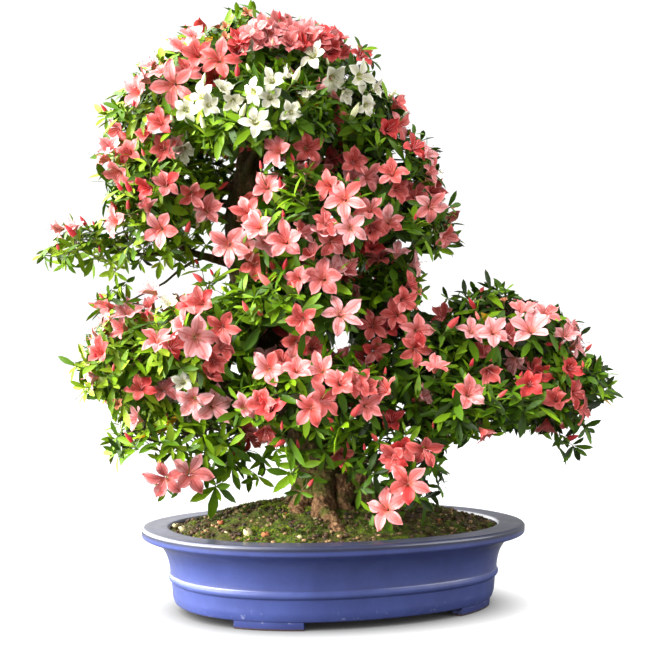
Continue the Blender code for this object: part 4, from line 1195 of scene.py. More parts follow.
HERO_MARKS = []  # pixels across, pixels down, radii and depths of the blooms of the tables


def hides_hero(points, share=CLEAR_ROUND_BLOOM, spare=0.0):
    """Which points would stand in front of a bloom of the tables."""
    x, y, half, depth = HERO_MARKS
    points = np.atleast_2d(points)
    p = pixel(points)
    off = np.hypot(p[:, :1] - x, p[:, 1:] - y)
    return ((off < half * share + spare) & (points[:, 1:2] < depth + 0.010)).any(1)


def grow_pad(name, group, line, radius, rng, plant, heroes):
    """A pad's stem and its twigs, each shoot growing from the nearest that is already there."""
    centre = np.array(PADS[name][0])
    start = line[-1]
    control = start + unit(line[-1] - line[-2]) * np.linalg.norm(centre - start) * 0.45
    stem = bezier((start, control, centre), np.linspace(0, 1, 9))
    shoots = pad_shoots(name, rng, heroes)
    places = np.zeros((len(stem) + 3 * len(shoots), 3))
    ways = np.zeros_like(places)
    owner = np.full(len(places), -1)
    places[:len(stem)] = stem
    ways[:len(stem)] = unit(np.gradient(stem, axis=0))
    filled = len(stem)
    curves, parents = [], []
    for number, (tip, axis, _, _) in enumerate(shoots):
        gap = tip - places[:filled]
        span = np.linalg.norm(gap, axis=1)
        along = np.einsum("ij,ij->i", gap, ways[:filled]) / np.maximum(span, 1e-6)
        best = int(np.argmin(span * (1.45 - 0.45 * along) + np.where(span < 0.010, 1.0, 0.0)))
        root, reach = places[best], span[best]
        rising = root + ways[best] * reach * 0.30 + (0, 0, 0.10 * reach)
        curve = bezier((root, rising, tip - axis * reach * 0.35, tip), np.linspace(0, 1, 5))
        curves.append(curve)
        parents.append(owner[best])
        places[filled:filled + 3] = curve[2:]
        ways[filled:filled + 3] = unit(np.gradient(curve, axis=0))[2:]
        owner[filled:filled + 3] = number
        filled += 3
    carried = np.ones(len(shoots))
    for number in range(len(shoots) - 1, -1, -1):
        if parents[number] >= 0:
            carried[parents[number]] += carried[number]
    end = AIRY_STEM_END if name in AIRY_PADS else STEM_END
    plant.twigs.add(*tube(stem, np.linspace(radius, end, len(stem)), 7))
    for shoot, curve, load in zip(shoots, curves, carried):
        thick = min(TWIG_RADIUS * load ** TWIG_POWER + TWIG_LEAST, radius * 0.8)
        radii = np.linspace(thick, min(thick, TWIG_TIP), len(curve))
        plant.twigs.add(*tube(curve, radii, 5 if thick > 0.0010 else 3), int(load < 3))
        dress_shoot(name, group, *shoot, rng, plant)


# Painted light of a spray: the least light for each set of greens to draw from.
TINTS_BY_LIGHT = ((0.62, (3, 4, 2)), (0.28, (2, 3, 1)), (-0.10, (1, 3, 2)), (-math.inf, (0, 2, 1)))
YELLOWED, YELLOWED_SHARE = (5, 3, 5), 0.006
LIGHT_LEFT, LIGHT_RIGHT = 3.3, 1.2  # how fast the painted light on the leaves grows to the left and fades to the right, by metres
LOW_LEAVES, CROWN_LEAVES = 0.24, 0.48  # below the first and above the second height their painted light is dimmer, so they are darker
BACK_TONES = ("pale", "salmon", "salmon", "coral", "coral", "red")
LEAF_LENGTHS = (0.0225, 0.0300)
AIRY_LEAVES = 0.86  # their length against the others
BACK_BLOOM_RADII = (0.0215, 0.0255)
BUD_LENGTHS = (0.013, 0.019)


def leaf_tints(tip, layer, rng):
    """Greens for one spray, with painted light and shade: lighter outside and on the lit left, darker
    within, low down and high in the crown.
    """
    light = 0.10 - 0.18 * layer - (LIGHT_LEFT if tip[0] < 0 else LIGHT_RIGHT) * tip[0]
    light -= 0.8 * max(0.0, LOW_LEAVES - tip[2])
    light += rng.uniform(-0.36, 0.36) - 4.5 * max(0.0, tip[2] - CROWN_LEAVES)
    if rng.random() < YELLOWED_SHARE:
        return YELLOWED
    return next(tints for least, tints in TINTS_BY_LIGHT if light > least)


def is_white(tip):
    """Whether a shoot is in the white-flowered band of the crown."""
    return 0.485 < tip[2] < 0.565 and noise.noise(Vector(tip) * 14.0 + Vector((5, 1, 2))) > 0.05


def dress_shoot(name, group, tip, axis, layer, hero, rng, plant):
    """The leaves at a shoot's tip, and its bloom or bud."""
    tints = leaf_tints(tip, layer, rng)
    count = (6, 4, 2)[layer] if hero is None else 6
    length = rng.uniform(*LEAF_LENGTHS) * (AIRY_LEAVES if name in AIRY_PADS else 1.0)
    if hero is None:
        plant.add_whorl(group, tip, axis, rng, count, length, tints)
        out_of_sight = not faces_front(tip, name)
        cluster = noise.noise(Vector(tip) * 22.0)
        in_bloom = axis[1] > -0.1 and axis[2] > -0.25 and cluster > -0.14 and rng.random() < 0.72
        bare = name in AIRY_PADS or in_windows(tip, SKY, 20.0)
        if layer == 0 and out_of_sight and in_bloom and not bare:
            tone = "white" if is_white(tip) else rng.choice(BACK_TONES)
            size = rng.uniform(*BACK_BLOOM_RADII)
            way = unit(axis + (rng.uniform(-0.5, 0.5), rng.uniform(-0.5, 0.5), rng.uniform(-0.5, 0.2)))
            if not hides_hero(tip + way * 0.018, 1.0, 6.0)[0]:
                plant.add_flower(tip + axis * 0.004, way, rng, size, rng.uniform(0.55, 1.0), tone)
        elif layer == 0 and rng.random() < (0.14 if out_of_sight else 0.03):
            tone = "cream" if is_white(tip) else "red"
            way = strayed(axis, rng, 0.3, 0.2)
            plant.add_bud(tip, way, rng, rng.uniform(*BUD_LENGTHS), tone)
        return
    if hero["kind"] == "spray":
        plant.add_whorl(group, tip, axis, rng, hero["count"], hero["size"], tints, 0.9, True)
        return
    plant.add_whorl(group, tip - axis * 0.003, axis, rng, count, length, tints, 1.2)
    if hero["kind"] == "bud":
        plant.add_bud(tip, axis, rng, hero["size"], hero["tone"])
    else:
        plant.add_flower(tip, axis, rng, hero["size"], hero["opening"], hero["tone"])


def faces_front(tip, name):
    """Whether a shoot lies on a side that the front view shows."""
    return name not in BACK_PADS and tip[1] < PADS[name][0][1] + 0.25 * PADS[name][1][1]


# Blooms of the front view, by tone: pixel of the middle, radius in pixels, and for those that don't
# face out of their pad how far they face right and up, from -1 to 1
BLOOMS = {
    "withered": (
        (247, 12, 8, 0.0, 0.8), (225, 37, 9, 0.0, 0.5), (225, 26, 6, -0.2, 0.8),
        (504, 301, 6, 0.1, 0.7), (118, 404, 6, -0.2, 0.0), (233, 46, 6, 0.2, 0.6),
    ),
    "pale": (
        # The first two, large and low on the left, take the pale tone as painted light against the shade
        # they stand in.
        (193, 401, 19, 0.0, -0.05, 0.034), (214, 405, 19, 0.05, -0.05, 0.034),
        (144, 79, 12, -0.8, 0.2), (193, 34, 9, -0.2, 0.9), (182, 46, 9, -0.5, 0.8), (110, 147, 11),
        (175, 149, 8, 0.5, 0.2), (57, 229, 11, -0.9, 0.2), (73, 227, 8, -0.2, 0.8),
        (152, 290, 12, -0.4, 0.7), (127, 311, 13, 0.3, 0.7), (94, 338, 13, -0.7, 0.3),
        (92, 378, 8, -0.9, 0.1), (180, 326, 12, -0.4, 0.3), (197, 338, 23, 0.05, 0.05),
        (246, 246, 14, -0.3, 0.3), (266, 243, 14, 0.2, 0.2), (324, 232, 10, 0.3, 0.6),
        (351, 228, 16, 0.0, 0.0), (331, 268, 13, 0.2, 0.5), (342, 313, 18, 0.1, 0.1),
        (397, 252, 13, 0.1, 0.6), (416, 264, 14, 0.8, 0.1), (427, 154, 12, 0.7, 0.5),
        (353, 176, 8, -0.2, 0.5), (245, 406, 16, 0.1, 0.2), (472, 330, 15, 0.1, 0.6),
        (494, 331, 16, -0.1, 0.2), (531, 328, 20, 0.0, 0.25), (565, 334, 13, 0.2, 0.6),
        (578, 344, 14, 0.6, 0.2), (425, 397, 12, 0.6, 0.4), (514, 362, 14, -0.3, -0.6),
        (137, 419, 12, -0.4, 0.5),
    ),
    "salmon": (
        (173, 85, 19, -0.1, -0.05), (187, 72, 16, 0.4, 0.3), (162, 69, 15, -0.4, 0.4),
        (135, 92, 14, -0.7, 0.1), (152, 64, 9, -0.6, 0.7), (268, 32, 13, 0.0, 0.9),
        (252, 29, 13, -0.2, 0.85), (262, 41, 9, 0.0, 0.6), (300, 29, 13, 0.2, 0.8),
        (104, 158, 11, -0.7, 0.1), (118, 174, 14, -0.4, -0.3), (276, 150, 16, -0.2, 0.1),
        (267, 186, 14, 0.1, 0.1), (113, 222, 17, -0.3, 0.2), (159, 229, 18, 0.0, 0.1),
        (207, 209, 17, 0.1, 0.1), (147, 207, 11, 0.0, 0.7), (228, 246, 18, -0.1, 0.0),
        (258, 226, 16, 0.0, 0.4), (285, 240, 19, 0.0, 0.1), (301, 232, 14, 0.4, 0.2),
        (344, 198, 18, 0.1, 0.1), (369, 177, 14, 0.3, 0.3), (370, 208, 14, 0.0, 0.3),
        (433, 172, 13, 0.6, 0.0), (431, 207, 16, 0.2, 0.0), (446, 237, 14, 0.6, -0.1),
        (389, 221, 14, 0.0, 0.0), (433, 190, 9, 0.5, 0.0), (322, 278, 20, 0.05, -0.05),
        (297, 279, 14, -0.4, 0.0), (311, 254, 12, -0.2, 0.5), (346, 270, 12, 0.6, 0.2),
        (122, 328, 12, -0.5, 0.2), (157, 339, 15, 0.0, 0.5), (163, 387, 13, -0.2, 0.5),
        (268, 368, 17, -0.1, 0.3),
        (297, 369, 16, 0.0, 0.2), (321, 370, 16, 0.1, 0.1), (311, 408, 17, -0.1, -0.1),
        (418, 331, 17, 0.0, 0.05), (522, 309, 13, -0.2, 0.7), (546, 313, 13, 0.4, 0.6),
        (470, 393, 18, 0.0, 0.1), (435, 366, 16, 0.0, 0.95), (165, 480, 18, -0.1, 0.0),
        (192, 473, 18, 0.1, -0.05), (385, 508, 19, 0.0, 0.05), (573, 330, 9, 0.5, 0.5),
        (247, 430, 9, 0.3, -0.3), (367, 406, 6, 0.0, 0.3), (108, 307, 9, -0.4, -0.2),
        (283, 29, 14, 0.1, 0.85), (262, 27, 11, 0.0, 0.4), (277, 25, 11, 0.1, 0.4),
        (292, 27, 12, 0.1, 0.4), (308, 34, 12, 0.2, 0.4), (290, 43, 12, 0.0, 0.3),
        (272, 43, 11, 0.0, 0.3), (318, 38, 11, 0.2, 0.3),
    ),
    "coral": (
        (197, 53, 17, -0.1, 0.1), (219, 58, 17, 0.1, 0.1), (160, 122, 9, -0.2, 0.4),
        (147, 133, 11, -0.5, 0.3), (163, 148, 14, -0.1, 0.1), (128, 151, 13, -0.3, 0.2),
        (166, 183, 13, -0.2, 0.1), (192, 195, 13, 0.2, -0.3), (308, 148, 17, 0.0, 0.1),
        (333, 158, 12, 0.2, 0.2), (354, 161, 14, 0.2, 0.3), (327, 186, 14, -0.3, 0.0),
        (247, 211, 14, -0.3, 0.1), (255, 264, 12, 0.0, -0.3), (326, 222, 10, 0.3, 0.5),
        (332, 242, 13, 0.2, 0.0), (397, 104, 11, 0.6, 0.5), (401, 126, 14, 0.4, 0.1),
        (392, 172, 13, 0.1, 0.2), (398, 189, 14, 0.1, -0.1), (415, 195, 9, 0.2, 0.3),
        (378, 256, 13, 0.0, 0.8), (411, 284, 10, 0.4, 0.2), (404, 300, 12, 0.2, 0.1),
        (150, 304, 9, -0.2, 0.5), (185, 303, 13, -0.4, 0.6), (201, 302, 15, 0.0, 0.4),
        (222, 328, 15, 0.2, 0.0), (223, 347, 13, 0.2, -0.1), (214, 361, 10, 0.0, -0.4),
        (100, 352, 11, -0.4, 0.3), (141, 387, 14, -0.2, 0.1), (211, 374, 8, 0.1, 0.5),
        (302, 320, 15, 0.0, 0.0), (283, 358, 10, 0.0, 0.7), (296, 343, 7, 0.0, 0.0),
        (341, 383, 15, 0.0, 0.3), (357, 382, 14, 0.2, 0.3), (325, 400, 17, 0.3, 0.1),
        (262, 401, 9, 0.0, 0.3), (340, 456, 11, 0.2, -0.2), (372, 325, 15, -0.1, 0.1),
        (388, 326, 13, 0.2, 0.1), (375, 351, 13, 0.1, -0.1), (416, 350, 13, 0.0, -0.2),
        (442, 315, 9, -0.2, 0.7), (385, 390, 15, -0.5, 0.7), (365, 388, 11, 0.1, 0.1),
        (425, 451, 17, 0.3, -0.3), (408, 483, 19, 0.1, 0.1), (484, 433, 10, 0.3, -0.8),
        (533, 367, 10, 0.3, 0.5), (489, 371, 11, -0.1, -0.1), (556, 399, 14, 0.1, 0.1),
        (585, 409, 14, 0.5, -0.2), (546, 425, 11, -0.1, -0.8), (508, 336, 10, 0.2, 0.4),
        (172, 347, 9, 0.3, 0.2), (117, 130, 7, -0.4, -0.7), (485, 352, 9, 0.3, 0.7),
        (251, 440, 9, 0.2, -0.5), (405, 448, 10, -0.4, -0.1), (362, 356, 11, -0.1, 0.0),
        (313, 348, 10, 0.0, 0.0), (393, 457, 7, -0.3, -0.3), (575, 393, 9, 0.4, 0.2),
        (395, 314, 9, 0.0, 0.3), (266, 431, 8, 0.1, -0.4), (372, 228, 9, 0.3, -0.2),
        (328, 40, 11, 0.3, 0.4), (341, 52, 11, 0.3, 0.3), (245, 36, 11, -0.2, 0.3),
        (307, 40, 10, 0.0, 0.2),
    ),
    "red": (
        (240, 41, 11, -0.2, 0.6), (302, 46, 10, -0.1, 0.4), (318, 38, 14, 0.0, 0.5),
        (336, 36, 12, 0.5, 0.6), (330, 51, 10, 0.2, 0.2), (362, 55, 10, 0.5, 0.4),
        (388, 129, 9, 0.2, 0.1), (318, 30, 8, 0.2, 0.9), (238, 51, 8, -0.2, 0.1),
        (270, 408, 8, 0.1, 0.3), (415, 147, 6, 0.3, 0.5), (147, 188, 7, -0.2, 0.1),
        (391, 419, 8, -0.2, 0.5), (570, 368, 10, 0.2, 0.2), (538, 374, 9, 0.3, 0.1),
        (530, 384, 8, 0.0, 0.0), (215, 78, 7, 0.0, 0.0), (372, 247, 8, 0.3, 0.5),
    ),
    "white": (
        (186, 109, 16, -0.2, 0.1), (201, 96, 14, -0.2, 0.2), (223, 88, 14, 0.0, 0.2),
        (233, 101, 13, -0.1, 0.0), (252, 92, 15, 0.0, 0.2), (256, 121, 17, 0.0, -0.05),
        (270, 97, 14, 0.1, 0.2), (272, 80, 15, 0.0, 0.4), (286, 75, 10, 0.3, 0.5),
        (183, 150, 17, -0.2, -0.35), (312, 54, 16, 0.0, 0.6), (333, 78, 18, 0.05, 0.1),
        (361, 76, 17, 0.2, 0.3), (376, 89, 12, 0.6, 0.2), (345, 93, 12, 0.1, -0.3),
        (367, 105, 14, 0.6, 0.2), (291, 112, 12, 0.2, 0.3), (307, 95, 11, 0.3, 0.6),
        (209, 105, 11, 0.0, 0.0), (250, 49, 8, -0.3, 0.7), (168, 303, 11, -0.1, 0.6),
        (183, 382, 10, 0.0, 0.6), (173, 398, 10, -0.4, 0.2),
    ),
}
# Shoots of the front view's outline: pixel of the tip, how far they point right and up, how many
# leaves, and their length in pixels
SPRAYS = (
    (216, 487, 0.0, -0.6, 8, 33), (116, 438, -0.7, -0.3, 6, 23), (122, 453, -0.2, -0.9, 6, 21),
    (172, 447, 0.2, -0.8, 5, 24), (262, 458, 0.2, -0.9, 6, 22), (245, 452, -0.2, -0.7, 6, 24),
    (276, 450, 0.4, -0.7, 6, 22), (232, 468, 0.2, -0.6, 6, 26), (298, 468, -0.7, -0.4, 5, 27),
    (250, 472, 0.5, -0.4, 5, 22), (308, 478, 0.0, -1.0, 3, 18), (228, 447, -0.3, -0.2, 7, 25),
    (205, 455, -0.3, -0.8, 6, 24), (325, 452, 0.0, -0.5, 6, 22), (305, 452, -0.2, -0.6, 6, 23),
    (345, 462, 0.2, -0.5, 6, 22), (360, 488, 0.0, -0.3, 6, 20), (374, 474, -0.2, 0.0, 6, 22),
    (352, 470, -0.1, -0.8, 5, 20), (389, 518, 0.2, -1.0, 4, 19), (372, 515, -0.7, -0.6, 3, 18),
    (434, 462, 0.5, -0.6, 4, 19), (414, 470, 0.3, 0.4, 4, 14),
    (64, 253, -0.9, 0.1, 6, 21), (115, 272, -0.3, -0.5, 7, 17), (126, 284, 0.1, -0.8, 5, 16),
    (112, 262, -0.2, -0.2, 6, 18), (160, 262, 0.1, -0.8, 5, 20), (180, 262, 0.2, -0.6, 5, 18),
    (202, 270, 0.0, -0.4, 6, 20), (140, 262, 0.0, -0.6, 4, 14), (110, 300, -0.5, 0.0, 8, 17),
    (126, 302, 0.4, 0.2, 6, 16), (76, 366, -0.95, 0.0, 5, 20), (86, 388, -0.9, -0.3, 7, 20),
    (96, 331, -1.0, 0.0, 2, 13), (105, 116, -0.8, 0.2, 6, 19), (120, 108, 0.0, 1.0, 4, 22),
    (130, 122, 0.2, -0.3, 6, 16), (238, 20, 0.0, 1.0, 5, 15), (226, 22, -0.4, 0.8, 4, 13),
    (205, 34, -0.4, 0.7, 5, 14), (175, 52, -0.4, 0.6, 5, 15), (362, 48, 0.6, 0.6, 6, 16),
    (374, 58, 0.9, 0.2, 4, 15), (345, 42, 0.4, 0.8, 4, 13), (415, 134, 0.5, 0.8, 5, 19),
    (450, 207, 0.9, 0.1, 5, 17), (440, 250, 0.3, -0.8, 6, 15), (421, 292, 0.9, -0.2, 6, 17),
    (447, 298, -0.6, 0.4, 6, 18), (466, 298, 0.0, 0.8, 6, 18), (491, 290, 0.0, 1.0, 6, 20),
    (506, 290, 0.3, 0.8, 6, 17), (553, 318, 0.6, 0.6, 5, 18), (582, 335, 1.0, 0.2, 4, 15),
    (596, 374, 0.8, 0.4, 8, 21), (606, 388, 0.9, 0.0, 6, 17), (600, 400, 0.7, -0.6, 3, 20),
    (586, 428, 0.7, -0.5, 4, 19), (574, 447, 0.5, -0.8, 7, 24),
    (563, 436, 0.2, -0.6, 5, 20), (290, 474, -0.2, -0.2, 6, 24), (258, 477, 0.1, -0.8, 5, 18),
    (300, 492, -0.3, -0.7, 4, 18), (503, 428, 0.2, -1.0, 2, 18),
    (466, 438, -0.2, -0.9, 4, 17), (166, 492, -0.2, -1.0, 3, 17), (181, 490, 0.2, -1.0, 2, 17),
    (566, 372, 0.0, -0.2, 6, 18), (247, 417, 0.1, -0.2, 6, 22),
    (238, 427, -0.2, -0.3, 6, 22), (256, 414, 0.3, 0.2, 5, 20), (210, 284, 0.2, -0.4, 6, 18),
    (205, 244, -0.2, 0.3, 6, 20), (560, 410, 0.1, -0.3, 7, 24), (455, 412, 0.2, 0.0, 7, 24),
)
# Buds of the front view: pixel of the foot, length in pixels, and how far they point right
BUDS = {
    "red": (
        (108, 113, 12, -0.7), (133, 108, 9, 0.1), (133, 195, 17, -0.5), (124, 193, 14, -0.6),
        (118, 213, 14, -0.5), (128, 213, 15, 0.0), (78, 240, 20, -0.6), (88, 228, 15, -0.6),
        (59, 252, 10, -0.2), (101, 254, 8, -0.3), (261, 171, 11, 0.0), (294, 164, 12, -0.2),
        (306, 170, 8, 0.0), (284, 219, 9, -0.1), (354, 256, 16, -0.25), (368, 272, 9, -0.3),
        (249, 314, 15, -0.5), (205, 284, 17, -0.7), (214, 277, 10, -0.4), (199, 266, 9, -0.5),
        (299, 451, 13, -0.2), (334, 434, 8, -0.4), (307, 488, 12, 0.6), (350, 420, 20, 0.5),
        (336, 423, 15, -0.9), (446, 331, 20, 0.6), (470, 369, 12, 0.2), (496, 399, 15, 0.8),
        (563, 441, 17, 0.9), (585, 352, 11, 0.6), (584, 369, 8, -0.3), (135, 445, 17, -0.6),
        (240, 458, 9, 0.8), (116, 310, 14, -0.8), (104, 300, 9, -0.5), (145, 158, 10, -0.3),
        (96, 360, 9, -0.2), (113, 373, 10, 0.1), (149, 318, 9, -0.3), (365, 452, 8, -0.1),
        (349, 450, 8, -0.3), (279, 22, 12, 0.1), (415, 222, 7, 0.1), (186, 236, 16, 0.2),
        (282, 432, 12, 0.0), (385, 376, 7, 0.0), (433, 430, 6, 0.0), (97, 228, 8, -0.6),
    ),
    "cream": (
        (202, 88, 16, 0.2), (173, 126, 14, -0.2), (205, 132, 18, -0.2), (240, 120, 18, 0.3),
        (292, 84, 20, 0.5), (350, 120, 20, 0.5), (250, 72, 10, -0.4), (328, 66, 9, -0.2),
        (270, 50, 12, 0.3), (390, 98, 12, 0.6), (382, 128, 9, 0.3), (300, 110, 9, -0.3),
    ),
    "salmon": (
        (272, 288, 22, -0.7), (347, 184, 12, 0.2), (480, 322, 12, -0.4), (420, 402, 13, 0.2),
        (455, 326, 9, 0.3), (296, 290, 10, -0.4),
    ),
}
# Radii of the blooms: against the table's, and the least one in metres
BLOOM_SIZES = {"withered": (1.0, 0.0080), "white": (1.12, 0.0140)}
USUAL_BLOOM = (1.27, 0.0186)
LARGEST_BLOOM = 0.0272
BIG_MARK = 14  # blooms wider than this radius in pixels stand a little further forward
FORWARD_STEP = 0.010
CLEAR_FRONT = 0.024  # what would touch the trunk is put this far in front of its surface
BUD_LEAST = 0.009


def front_of_plant(px, py):
    """The pad that the view through a pixel meets first, or passes nearest, and where."""
    way = unit(at_pixel(px, py, 0.0) - EYE)
    best = None
    for name, (centre, (side, depth, rise, fall)) in PADS.items():
        if name in BACK_PADS:
            continue
        centre = np.array(centre)
        above = at_pixel(px, py, centre[1])[2] > centre[2]
        scale = 1.0 / (0.96 * np.array([side, depth, rise if above else fall]))
        start = (EYE - centre) * scale
        run = way * scale
        nearest = -start.dot(run) / run.dot(run)
        miss = np.linalg.norm(start + run * nearest)
        if miss < 1.0:
            key = (0, nearest - math.sqrt(1 - miss * miss) / np.linalg.norm(run))
        else:
            key = (1, miss)
        if best is None or key < best[0]:
            best = (key, name, EYE + way * (key[1] if miss < 1.0 else nearest - 0.012))
    place = best[2]
    trunk, thick = trunk_centre(min(max(place[2], GROUND), TRUNK_TOP))
    beside = abs(place[0] - trunk[0]) < thick + CLEAR_OF_TRUNK
    if beside and place[1] > trunk[1] - thick - CLEAR_FRONT + 0.002:
        place = at_pixel(px, py, trunk[1] - thick - CLEAR_FRONT)
        return min(PADS, key=lambda n: float(reach_share(n, place))), place
    return best[1], place


def metres_a_pixel(place):
    return (place[1] - EYE[1]) / FOCAL_PIXELS


def place_heroes(rng):
    """The blooms, buds and shoots of the tables, each on the front of the pad that its pixel meets."""
    heroes = {name: [] for name in PADS}
    marks = []
    for tone, rows in BLOOMS.items():
        for px, py, half, *facing in rows:
            name, place = front_of_plant(px, py)
            right, up, *out = facing or (-0.3 if px < PICTURE / 2 else 0.3, 0.2)
            place = place - (out[0] if out else FORWARD_STEP * (half > BIG_MARK)) * unit(place - EYE)
            right = 1.3 * right + rng.uniform(-0.36, 0.36)
            up = 1.1 * up + 0.02 + rng.uniform(-0.32, 0.28)
            if py < 60:
                up = min(up, 0.55)
            if tone == "white":
                right += rng.uniform(-0.4, 0.4)
                up += rng.uniform(-0.5, 0.2)
            axis = unit((right, -math.sqrt(max(0.20, 1 - right ** 2 - up ** 2)), up))
            factor, least = BLOOM_SIZES.get(tone, USUAL_BLOOM)
            size = min(max(half * metres_a_pixel(place) * factor, least), LARGEST_BLOOM)
            heroes[name].append({
                "base": place - axis * size * 0.50, "axis": axis, "size": size,
                "opening": rng.uniform(0.62, 1.0) if half > 12 else rng.uniform(0.36, 0.78),
                "tone": tone, "kind": "bloom"})
            marks.append((px, py, max(half, 9.0) * (0.75 if tone == "white" else 1.0), place[1]))
    for tone, rows in BUDS.items():
        for px, py, length, right in rows:
            name, place = front_of_plant(px, py)
            axis = unit((right, -0.25, math.sqrt(max(0.05, 1 - right ** 2))))
            heroes[name].append({"base": place, "axis": axis, "tone": tone, "kind": "bud",
                                 "size": max(length * metres_a_pixel(place), BUD_LEAST)})
            marks.append((px + right * length / 2, py - length / 2, length * 0.45, place[1]))
    HERO_MARKS[:] = list(np.array(marks).T)
    for px, py, right, up, count, length in SPRAYS:
        name, place = front_of_plant(px, py)
        heroes[name].append({"base": place, "axis": unit((0.6 * right, -0.75, 0.6 * up)),
                             "size": length * metres_a_pixel(place), "count": count, "kind": "spray"})
    return heroes


FOLIAGE = ["foliage_" + name for name in PADS]


def leaf_piece(group, rows, finishes):
    """All leaves of one group as one joined mesh."""
    batch = Batch()
    for variant, shape in enumerate(LEAF_SHAPES):
        chosen = [row for row in rows if row[5] == variant]
        if not chosen:
            continue
        base, way, up, length, tint, _ = (np.array(column) for column in zip(*chosen))
        way = unit(way)
        up = unit(up - way * np.einsum("ij,ij->i", up, way)[:, None])
        basis = np.stack([way, np.cross(up, way), up], 1)
        points = base[:, None] + np.einsum("vk,nkc->nvc", shape, basis) * length[:, None, None]
        offsets = (np.arange(len(chosen)) * len(shape))[:, None, None]
        batch.add(points.reshape(-1, 3), (LEAF_TRIS + offsets).reshape(-1, 3),
                  (LEAF_QUADS + offsets).reshape(-1, 4), np.repeat(tint, len(LEAF_TRIS)),
                  np.repeat(tint, len(LEAF_QUADS)))
    batch.piece("leaves_" + group, finishes, "foliage", ["foliage_" + name for name in LEAF_GROUPS[group]])


def make_plant(lines):
    plant = Plant()
    heroes = place_heroes(random.Random(SEED + 77))
    group_of = {name: group for group, names in LEAF_GROUPS.items() for name in names}
    heights = np.linspace(APEX_STEM_HEIGHT, TRUNK_TOP, 5)
    apex_stem = np.array([trunk_centre(z)[0] for z in heights]), [APEX_STEM_RADIUS]
    for number, name in enumerate(PADS):
        line, radii = lines.get(name, apex_stem)
        grow_pad(name, group_of[name], line, radii[-1], random.Random(SEED + number), plant, heroes[name])
    greens = palette(leaf_material, "leaf_", GREENS)
    for group, rows in plant.leaves.items():
        leaf_piece(group, rows, greens)
    twigs = palette(plain_material, "twig_", {"bark": (74, 54, 38)}, 0.85)
    twigs += palette(plain_material, "twig_", {"young": (92, 92, 44)}, 0.7)
    plant.twigs.piece("twigs", twigs, "bough_bark", FOLIAGE)
    pinks = [finish for tone in PINK_TONES for finish in petal_palette(tone)]
    plant.pink.piece("petals_pink", pinks, "pink_petals", FOLIAGE)
    crown = ["foliage_" + name for name in LEAF_GROUPS["crown"]]
    plant.white.piece("petals_white", petal_palette("white"), "white_petals", crown)
    stamens = palette(plain_material, "stamen_", {"pink": (240, 150, 150), "pale": (238, 236, 214)}, 0.5)
    stamens += palette(plain_material, "", {"anther": (150, 96, 70)}, 0.7)
    plant.stamens.piece("stamens", stamens, "pink_petals", FOLIAGE)
    plant.buds.piece("buds", palette(petal_material, "bud_", BUD_COLOURS), "pink_petals", FOLIAGE)


# Stage

FLOOR_HALF = 12.0
FLOOR_GREY = 0.08
FLOOR_GLOW = 0.96
SHADOW_REACH = 0.045
SHADOW_DEPTH = 1.6
BRIGHT_SIDE = (-1.0, 0.14, 0.32)
STUDIO_LIGHT = {"From_Min": 0.12, "To_Min": 0.42, "To_Max": 9.5}  # from the dim side to the bright one
BACKDROP = 1.10
SUNS = (  # name, place in the front view, spread in degrees, strength
    ("key", (-1.38, -0.48, 0.70), 50.0, 6.6),
    ("front", (0.2, -1.5, 0.7), 60.0, 0.15),
    ("right", (1.5, -0.25, 0.75), 50.0, 2.3),
)
SENSOR_WIDTH = 36.0


def floor_material():
    """Pale and even to the camera, darker close to the pot, and dull to the light around."""
    made, tree, shader = new_material("floor_white", Base_Color=grey(FLOOR_GREY), Roughness=0.9,
                                      Emission_Color=grey(1.0))
    near = node(tree, "AmbientOcclusion", Distance=SHADOW_REACH, samples=8)
    shade = maths(tree, "POWER", near.outputs["AO"], SHADOW_DEPTH)
    glow = maths(tree, "MULTIPLY", shade, FLOOR_GLOW)
    seen = node(tree, "LightPath").outputs["Is Camera Ray"]
    feed(tree, shader.inputs["Emission Strength"], maths(tree, "MULTIPLY", seen, glow))
    return made


def make_floor():
    half = FLOOR_HALF
    floor = bpy.data.meshes.new("floor")
    floor.from_pydata([(-half, -half, 0), (half, -half, 0), (half, half, 0), (-half, half, 0)], [],
                      [(0, 1, 2, 3)])
    floor.materials.append(floor_material())
    placed("floor", floor)


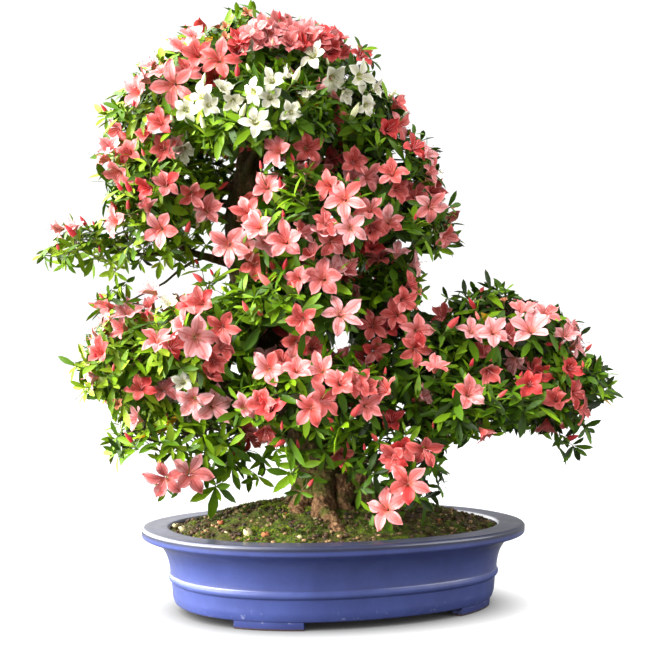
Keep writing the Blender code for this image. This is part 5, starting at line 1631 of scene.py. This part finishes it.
def make_light():
    """A studio that is brightest on the left, and soft suns."""
    world = bpy.data.worlds.new("studio")
    world.use_nodes = True
    tree = world.node_tree
    background = tree.nodes["Background"]
    background.inputs["Color"].default_value = grey(1.0)
    lit = node(tree, "VectorMath", operation="DOT_PRODUCT")
    feed(tree, lit.inputs[0], node(tree, "TexCoord").outputs["Generated"])
    feed(tree, lit.inputs[1], tuple(unit(row_way(BRIGHT_SIDE))))
    around = node(tree, "MapRange", interpolation_type="SMOOTHSTEP", Value=lit.outputs["Value"],
                  **STUDIO_LIGHT)
    strength = node(tree, "Mix", Factor=node(tree, "LightPath").outputs["Is Camera Ray"],
                    A=around.outputs["Result"], B=BACKDROP)
    feed(tree, background.inputs["Strength"], strength.outputs["Result"])
    bpy.context.scene.world = world
    for name, place, spread, strength in SUNS:
        light = bpy.data.lights.new(name, "SUN")
        light.angle = math.radians(spread)
        light.energy = strength
        placed(name, light).rotation_euler = Vector(row_way(place)).to_track_quat("Z", "Y").to_euler()


def make_camera():
    camera = bpy.data.cameras.new("camera")
    camera.sensor_width = SENSOR_WIDTH
    camera.lens = FOCAL_PIXELS / PICTURE * SENSOR_WIDTH
    made = placed("camera", camera)
    made.location = Vector(to_row(EYE))
    ahead = np.array([0.0, math.cos(TILT), math.sin(TILT)])
    aim = Vector(to_row(EYE + ahead)) - made.location
    made.rotation_euler = aim.to_track_quat("-Z", "Y").to_euler()
    bpy.context.scene.camera = made
    bpy.context.scene.view_settings.view_transform = "Standard"
    bpy.context.scene.view_settings.look = "None"


def main():
    make_floor()
    make_light()
    make_camera()
    make_pot(glaze_material())
    make_soil(soil_material())
    make_moss(palette(plain_material, "moss_", MOSS_COLOURS, 0.9))
    make_grit(palette(plain_material, "grit_", GRIT_COLOURS, 0.9))
    make_trunk(bark_material("trunk"))
    make_roots(bark_material("roots"))
    lines = {}
    for name in sorted(BOUGHS, key=lambda n: BOUGHS[n][0] != "trunk"):
        lines[name] = bough_line(name, lines)
    make_boughs(lines, bark_material("boughs"))
    make_plant(lines)


main()
